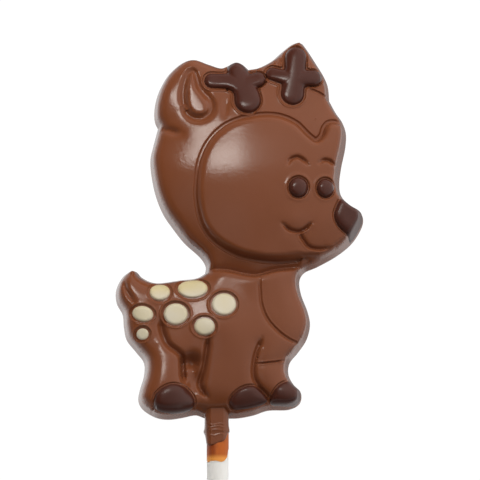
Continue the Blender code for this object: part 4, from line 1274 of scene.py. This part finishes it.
class FAWN_OT_sleeve(bpy.types.Operator):
    """Builds the sleeve of chocolate that ran down the stick, and its thin amber film"""

    bl_idname = "fawn.sleeve"
    bl_label = "Sleeve and film"

    def execute(self, context):
        sizes = context.scene.fawn_sizes
        colours = context.scene.fawn_colours
        low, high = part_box("stick")
        axis_z = (low.z + high.z) / 2 / MM
        path = smooth_path(SLEEVE, SLEEVE_LINE_STEP, closed=True)

        def depth_of(points):
            return depth_inside(path, points)

        def height(points):
            x, y = points.T
            round_top = axis_z + np.sqrt(np.clip(SLEEVE_RADIUS**2 - x**2, SLEEVE_SIDE, None))
            top = np.minimum(round_top, SLEEVE_FLAT + SLEEVE_LEAN * x)
            lip_at, lip_reach, lip_drop = SLEEVE_LIP
            top -= lip_drop * (1 - smooth_step((y - lip_at) / lip_reach))
            across = bell(x - RIDGE_MIDDLE, RIDGE_LENGTH)
            for ridge_y, rise, width, wave, phase in SLEEVE_RIDGES:
                top += rise * across * bell(y - ridge_y - wave * np.sin(RIDGE_WAVES * x + phase), width)
            rim_drop, rim_reach = SLEEVE_RIM
            return top - rim_drop * (1 - dome(depth_of(points), rim_reach))

        def place(first, out, share):
            return (first.x, first.y, first.z + (axis_z - SLEEVE_UNDER - first.z) * share)

        bm = sheet_within(depth_of, path.min(axis=0), path.max(axis=0), SLEEVE_STEP, SLEEVE_INSET)
        raise_to(bm, height(flat_places(bm.verts)))
        close_below(bm, extrude_rim(bm, SLEEVE_RINGS, place))
        finish_piece("chocolate_sleeve", bm, milk(colours))

        bm = bmesh.new()
        top, bottom = STAIN_SPAN
        middle = (top + bottom) / 2
        radius = sizes.stick_radius / MM + STAIN_THICKNESS
        caps = round_bar(bm, radius, top, bottom, axis_z, STAIN_SEGMENTS)
        for vert in bm.verts:
            if vert.co.y < middle:
                reach = np.interp(vert.co.x, *np.transpose(STAIN_EDGE))
                vert.co.y = reach + (STAIN_BACK if vert.co.z < axis_z else 0)
        for edge in {edge for face in caps for edge in face.edges}:
            edge.smooth = False
        lower = [f for f in caps if f.calc_center_median().y < middle]
        bmesh.ops.inset_region(bm, faces=lower, thickness=STAIN_INSET, depth=0.0)
        bmesh.ops.triangulate(bm, faces=[f for f in bm.faces if len(f.verts) > 4])
        bmesh.ops.recalc_face_normals(bm, faces=bm.faces)
        surface = caramel("Caramelised fat, thin film", colours.amber, colours.caramel, colours.golden)
        finish_piece("amber_film", bm, surface)
        return {"FINISHED"}


def soft_lamp(context, name, way, distance, size, radiance, ramp):
    """A soft box that looks at the figure; its strength may fall off across its width."""
    lamp = bpy.data.lights.new(name, "AREA")
    lamp.shape = "RECTANGLE"
    lamp.size, lamp.size_y = size
    lamp.energy = radiance * math.pi * size[0] * size[1]
    lamp.color = LAMP_TINT
    if ramp:
        lamp.use_nodes = True
        tree = lamp.node_tree
        tree.nodes.clear()
        surface = node(tree, "ShaderNodeNewGeometry")
        axes = node(tree, "ShaderNodeSeparateXYZ", links={"Vector": surface.outputs["Parametric"]})
        fall = node(tree, "ShaderNodeValToRGB", links={"Fac": axes.outputs["X"]})
        stops = fall.color_ramp.elements
        fall.color_ramp.interpolation = "B_SPLINE"
        while len(stops) < len(ramp):
            stops.new(0.5)
        for stop, (place, share) in zip(stops, ramp):
            stop.position = place
            stop.color = (share, share, share, 1)
        start, end, last = KEY_FADE
        fade = node(
            tree,
            "ShaderNodeMapRange",
            {"interpolation_type": "SMOOTHSTEP"},
            {"Value": axes.outputs["Y"]},
            {"From Min": start, "From Max": end, "To Min": 1.0, "To Max": last},
        )
        factors = {0: fall.outputs["Color"], 1: fade.outputs["Result"]}
        both = node(tree, "ShaderNodeMath", {"operation": "MULTIPLY"}, factors)
        light = node(tree, "ShaderNodeEmission", links={"Strength": both.outputs["Value"]})
        node(tree, "ShaderNodeOutputLight", links={"Surface": light.outputs["Emission"]})
    soft_box = bpy.data.objects.new(name, lamp)
    across = (Vector((1, 0, 0)) - way * way.x).normalized()
    turn = Matrix((across, way.cross(across), way)).transposed().to_4x4()
    soft_box.matrix_world = Matrix.Translation(Vector(LIT_POINT) * MM + way * distance) @ turn
    context.scene.collection.objects.link(soft_box)
    return soft_box


def light_room(scene):
    """The soft glow of the room: brighter on the right, along the horizon and from the pale table."""
    world = bpy.data.worlds.new("Studio")
    world.use_nodes = True
    tree = world.node_tree
    tree.nodes.clear()
    ways = node(tree, "ShaderNodeTexCoord").outputs["Generated"]
    total = None
    for _, kind, falls in ROOM_GLOWS:
        strength = None
        for way, start, end, first, last in falls:
            toward = node(
                tree,
                "ShaderNodeVectorMath",
                {"operation": "DOT_PRODUCT"},
                {0: ways},
                {1: Vector(way).normalized()},
            )
            fall = node(
                tree,
                "ShaderNodeMapRange",
                {"interpolation_type": kind},
                {"Value": toward.outputs["Value"]},
                {"From Min": start, "From Max": end, "To Min": first, "To Max": last},
            )
            if strength:
                factors = {0: strength, 1: fall.outputs["Result"]}
                fall = node(tree, "ShaderNodeMath", {"operation": "MULTIPLY"}, factors)
            strength = fall.outputs[0]
        if total:
            both = node(tree, "ShaderNodeMath", {"operation": "ADD"}, {0: total, 1: strength})
            strength = both.outputs["Value"]
        total = strength
    light = node(tree, "ShaderNodeBackground", links={"Strength": total}, values={"Color": (1, 1, 1, 1)})
    node(tree, "ShaderNodeOutputWorld", links={"Surface": light.outputs["Background"]})
    scene.world = world


class FAWN_OT_stage(bpy.types.Operator):
    """Sets up the pale table, the lamps, the room's glow and the camera"""

    bl_idname = "fawn.stage"
    bl_label = "Table, light and camera"

    def execute(self, context):
        stage = context.scene.fawn_stage
        bm = bmesh.new()
        bmesh.ops.create_circle(bm, cap_ends=True, segments=96, radius=TABLE_RADIUS)
        mesh = bpy.data.meshes.new("table")
        bm.to_mesh(mesh)
        bm.free()
        table = bpy.data.objects.new("table", mesh)
        table.location.z = -TABLE_GAP * MM
        context.scene.collection.objects.link(table)
        surface, tree, places = new_surface("Table, white matt")
        scale = {"Scale": 1 / (TABLE_CLOUD_SIZE * MM)}
        cloud = node(tree, "ShaderNodeTexNoise", links={"Vector": places}, values=scale)
        dark_grey, pale_grey = TABLE_GREYS
        tone = node(
            tree,
            "ShaderNodeMapRange",
            links={"Value": cloud.outputs["Fac"]},
            values={"To Min": dark_grey, "To Max": pale_grey},
        )
        lit = {"Emission Color": (1, 1, 1, 1), "Emission Strength": 1.0}
        shader = node(
            tree,
            "ShaderNodeBsdfPrincipled",
            links={"Base Color": tone.outputs["Result"]},
            values={"Roughness": 0.9, "Specular IOR Level": 0.0, **lit},
        )
        node(tree, "ShaderNodeOutputMaterial", links={"Surface": shader.outputs["BSDF"]})
        mesh.materials.append(surface)
        table.visible_glossy = False
        light_room(context.scene)

        for name, way, distance, size, radiance, ramp, mirrored in LAMPS:
            lamp = soft_lamp(context, name, Vector(way).normalized(), distance, size, radiance, ramp)
            lamp.visible_glossy = mirrored

        camera = bpy.data.cameras.new("camera")
        camera.lens = stage.lens
        camera.sensor_width = SENSOR_WIDTH
        camera.clip_start = 0.01
        distance = stage.frame_width * stage.lens / camera.sensor_width
        view = bpy.data.objects.new("camera", camera)
        angle = stage.elevation
        aim = Vector((*VIEW_AIM, 0)) * MM
        view.location = aim + Vector((0, -math.cos(angle), math.sin(angle))) * distance
        view.rotation_euler = (math.pi / 2 - angle, 0, 0)
        context.scene.collection.objects.link(view)
        context.scene.camera = view
        context.scene.view_settings.view_transform = "Standard"
        return {"FINISHED"}


class FAWN_PT_panel(bpy.types.Panel):
    """Lists the steps that build the lollipop"""

    bl_idname = "FAWN_PT_panel"
    bl_label = "Chocolate fawn"
    bl_space_type = "VIEW_3D"
    bl_region_type = "UI"
    bl_category = "Chocolate"

    def draw(self, context):
        for step in STEPS:
            self.layout.operator(step.bl_idname)


GROUPS = (("fawn_sizes", FawnSizes), ("fawn_colours", FawnColours), ("fawn_stage", FawnStage))
STEPS = (FAWN_OT_figure, FAWN_OT_spots, FAWN_OT_dark_inlays, FAWN_OT_stick, FAWN_OT_sleeve, FAWN_OT_stage)


def register():
    for name, group in GROUPS:
        bpy.utils.register_class(group)
        setattr(bpy.types.Scene, name, bpy.props.PointerProperty(type=group))
    for step in STEPS:
        bpy.utils.register_class(step)
    bpy.utils.register_class(FAWN_PT_panel)


def unregister():
    bpy.utils.unregister_class(FAWN_PT_panel)
    for step in reversed(STEPS):
        bpy.utils.unregister_class(step)
    for name, group in reversed(GROUPS):
        delattr(bpy.types.Scene, name)
        bpy.utils.unregister_class(group)


def main():
    register()
    bpy.ops.fawn.figure()
    bpy.ops.fawn.spots()
    bpy.ops.fawn.dark_inlays()
    bpy.ops.fawn.stick()
    bpy.ops.fawn.sleeve()
    bpy.ops.fawn.stage()


if __name__ == "__main__":
    main()
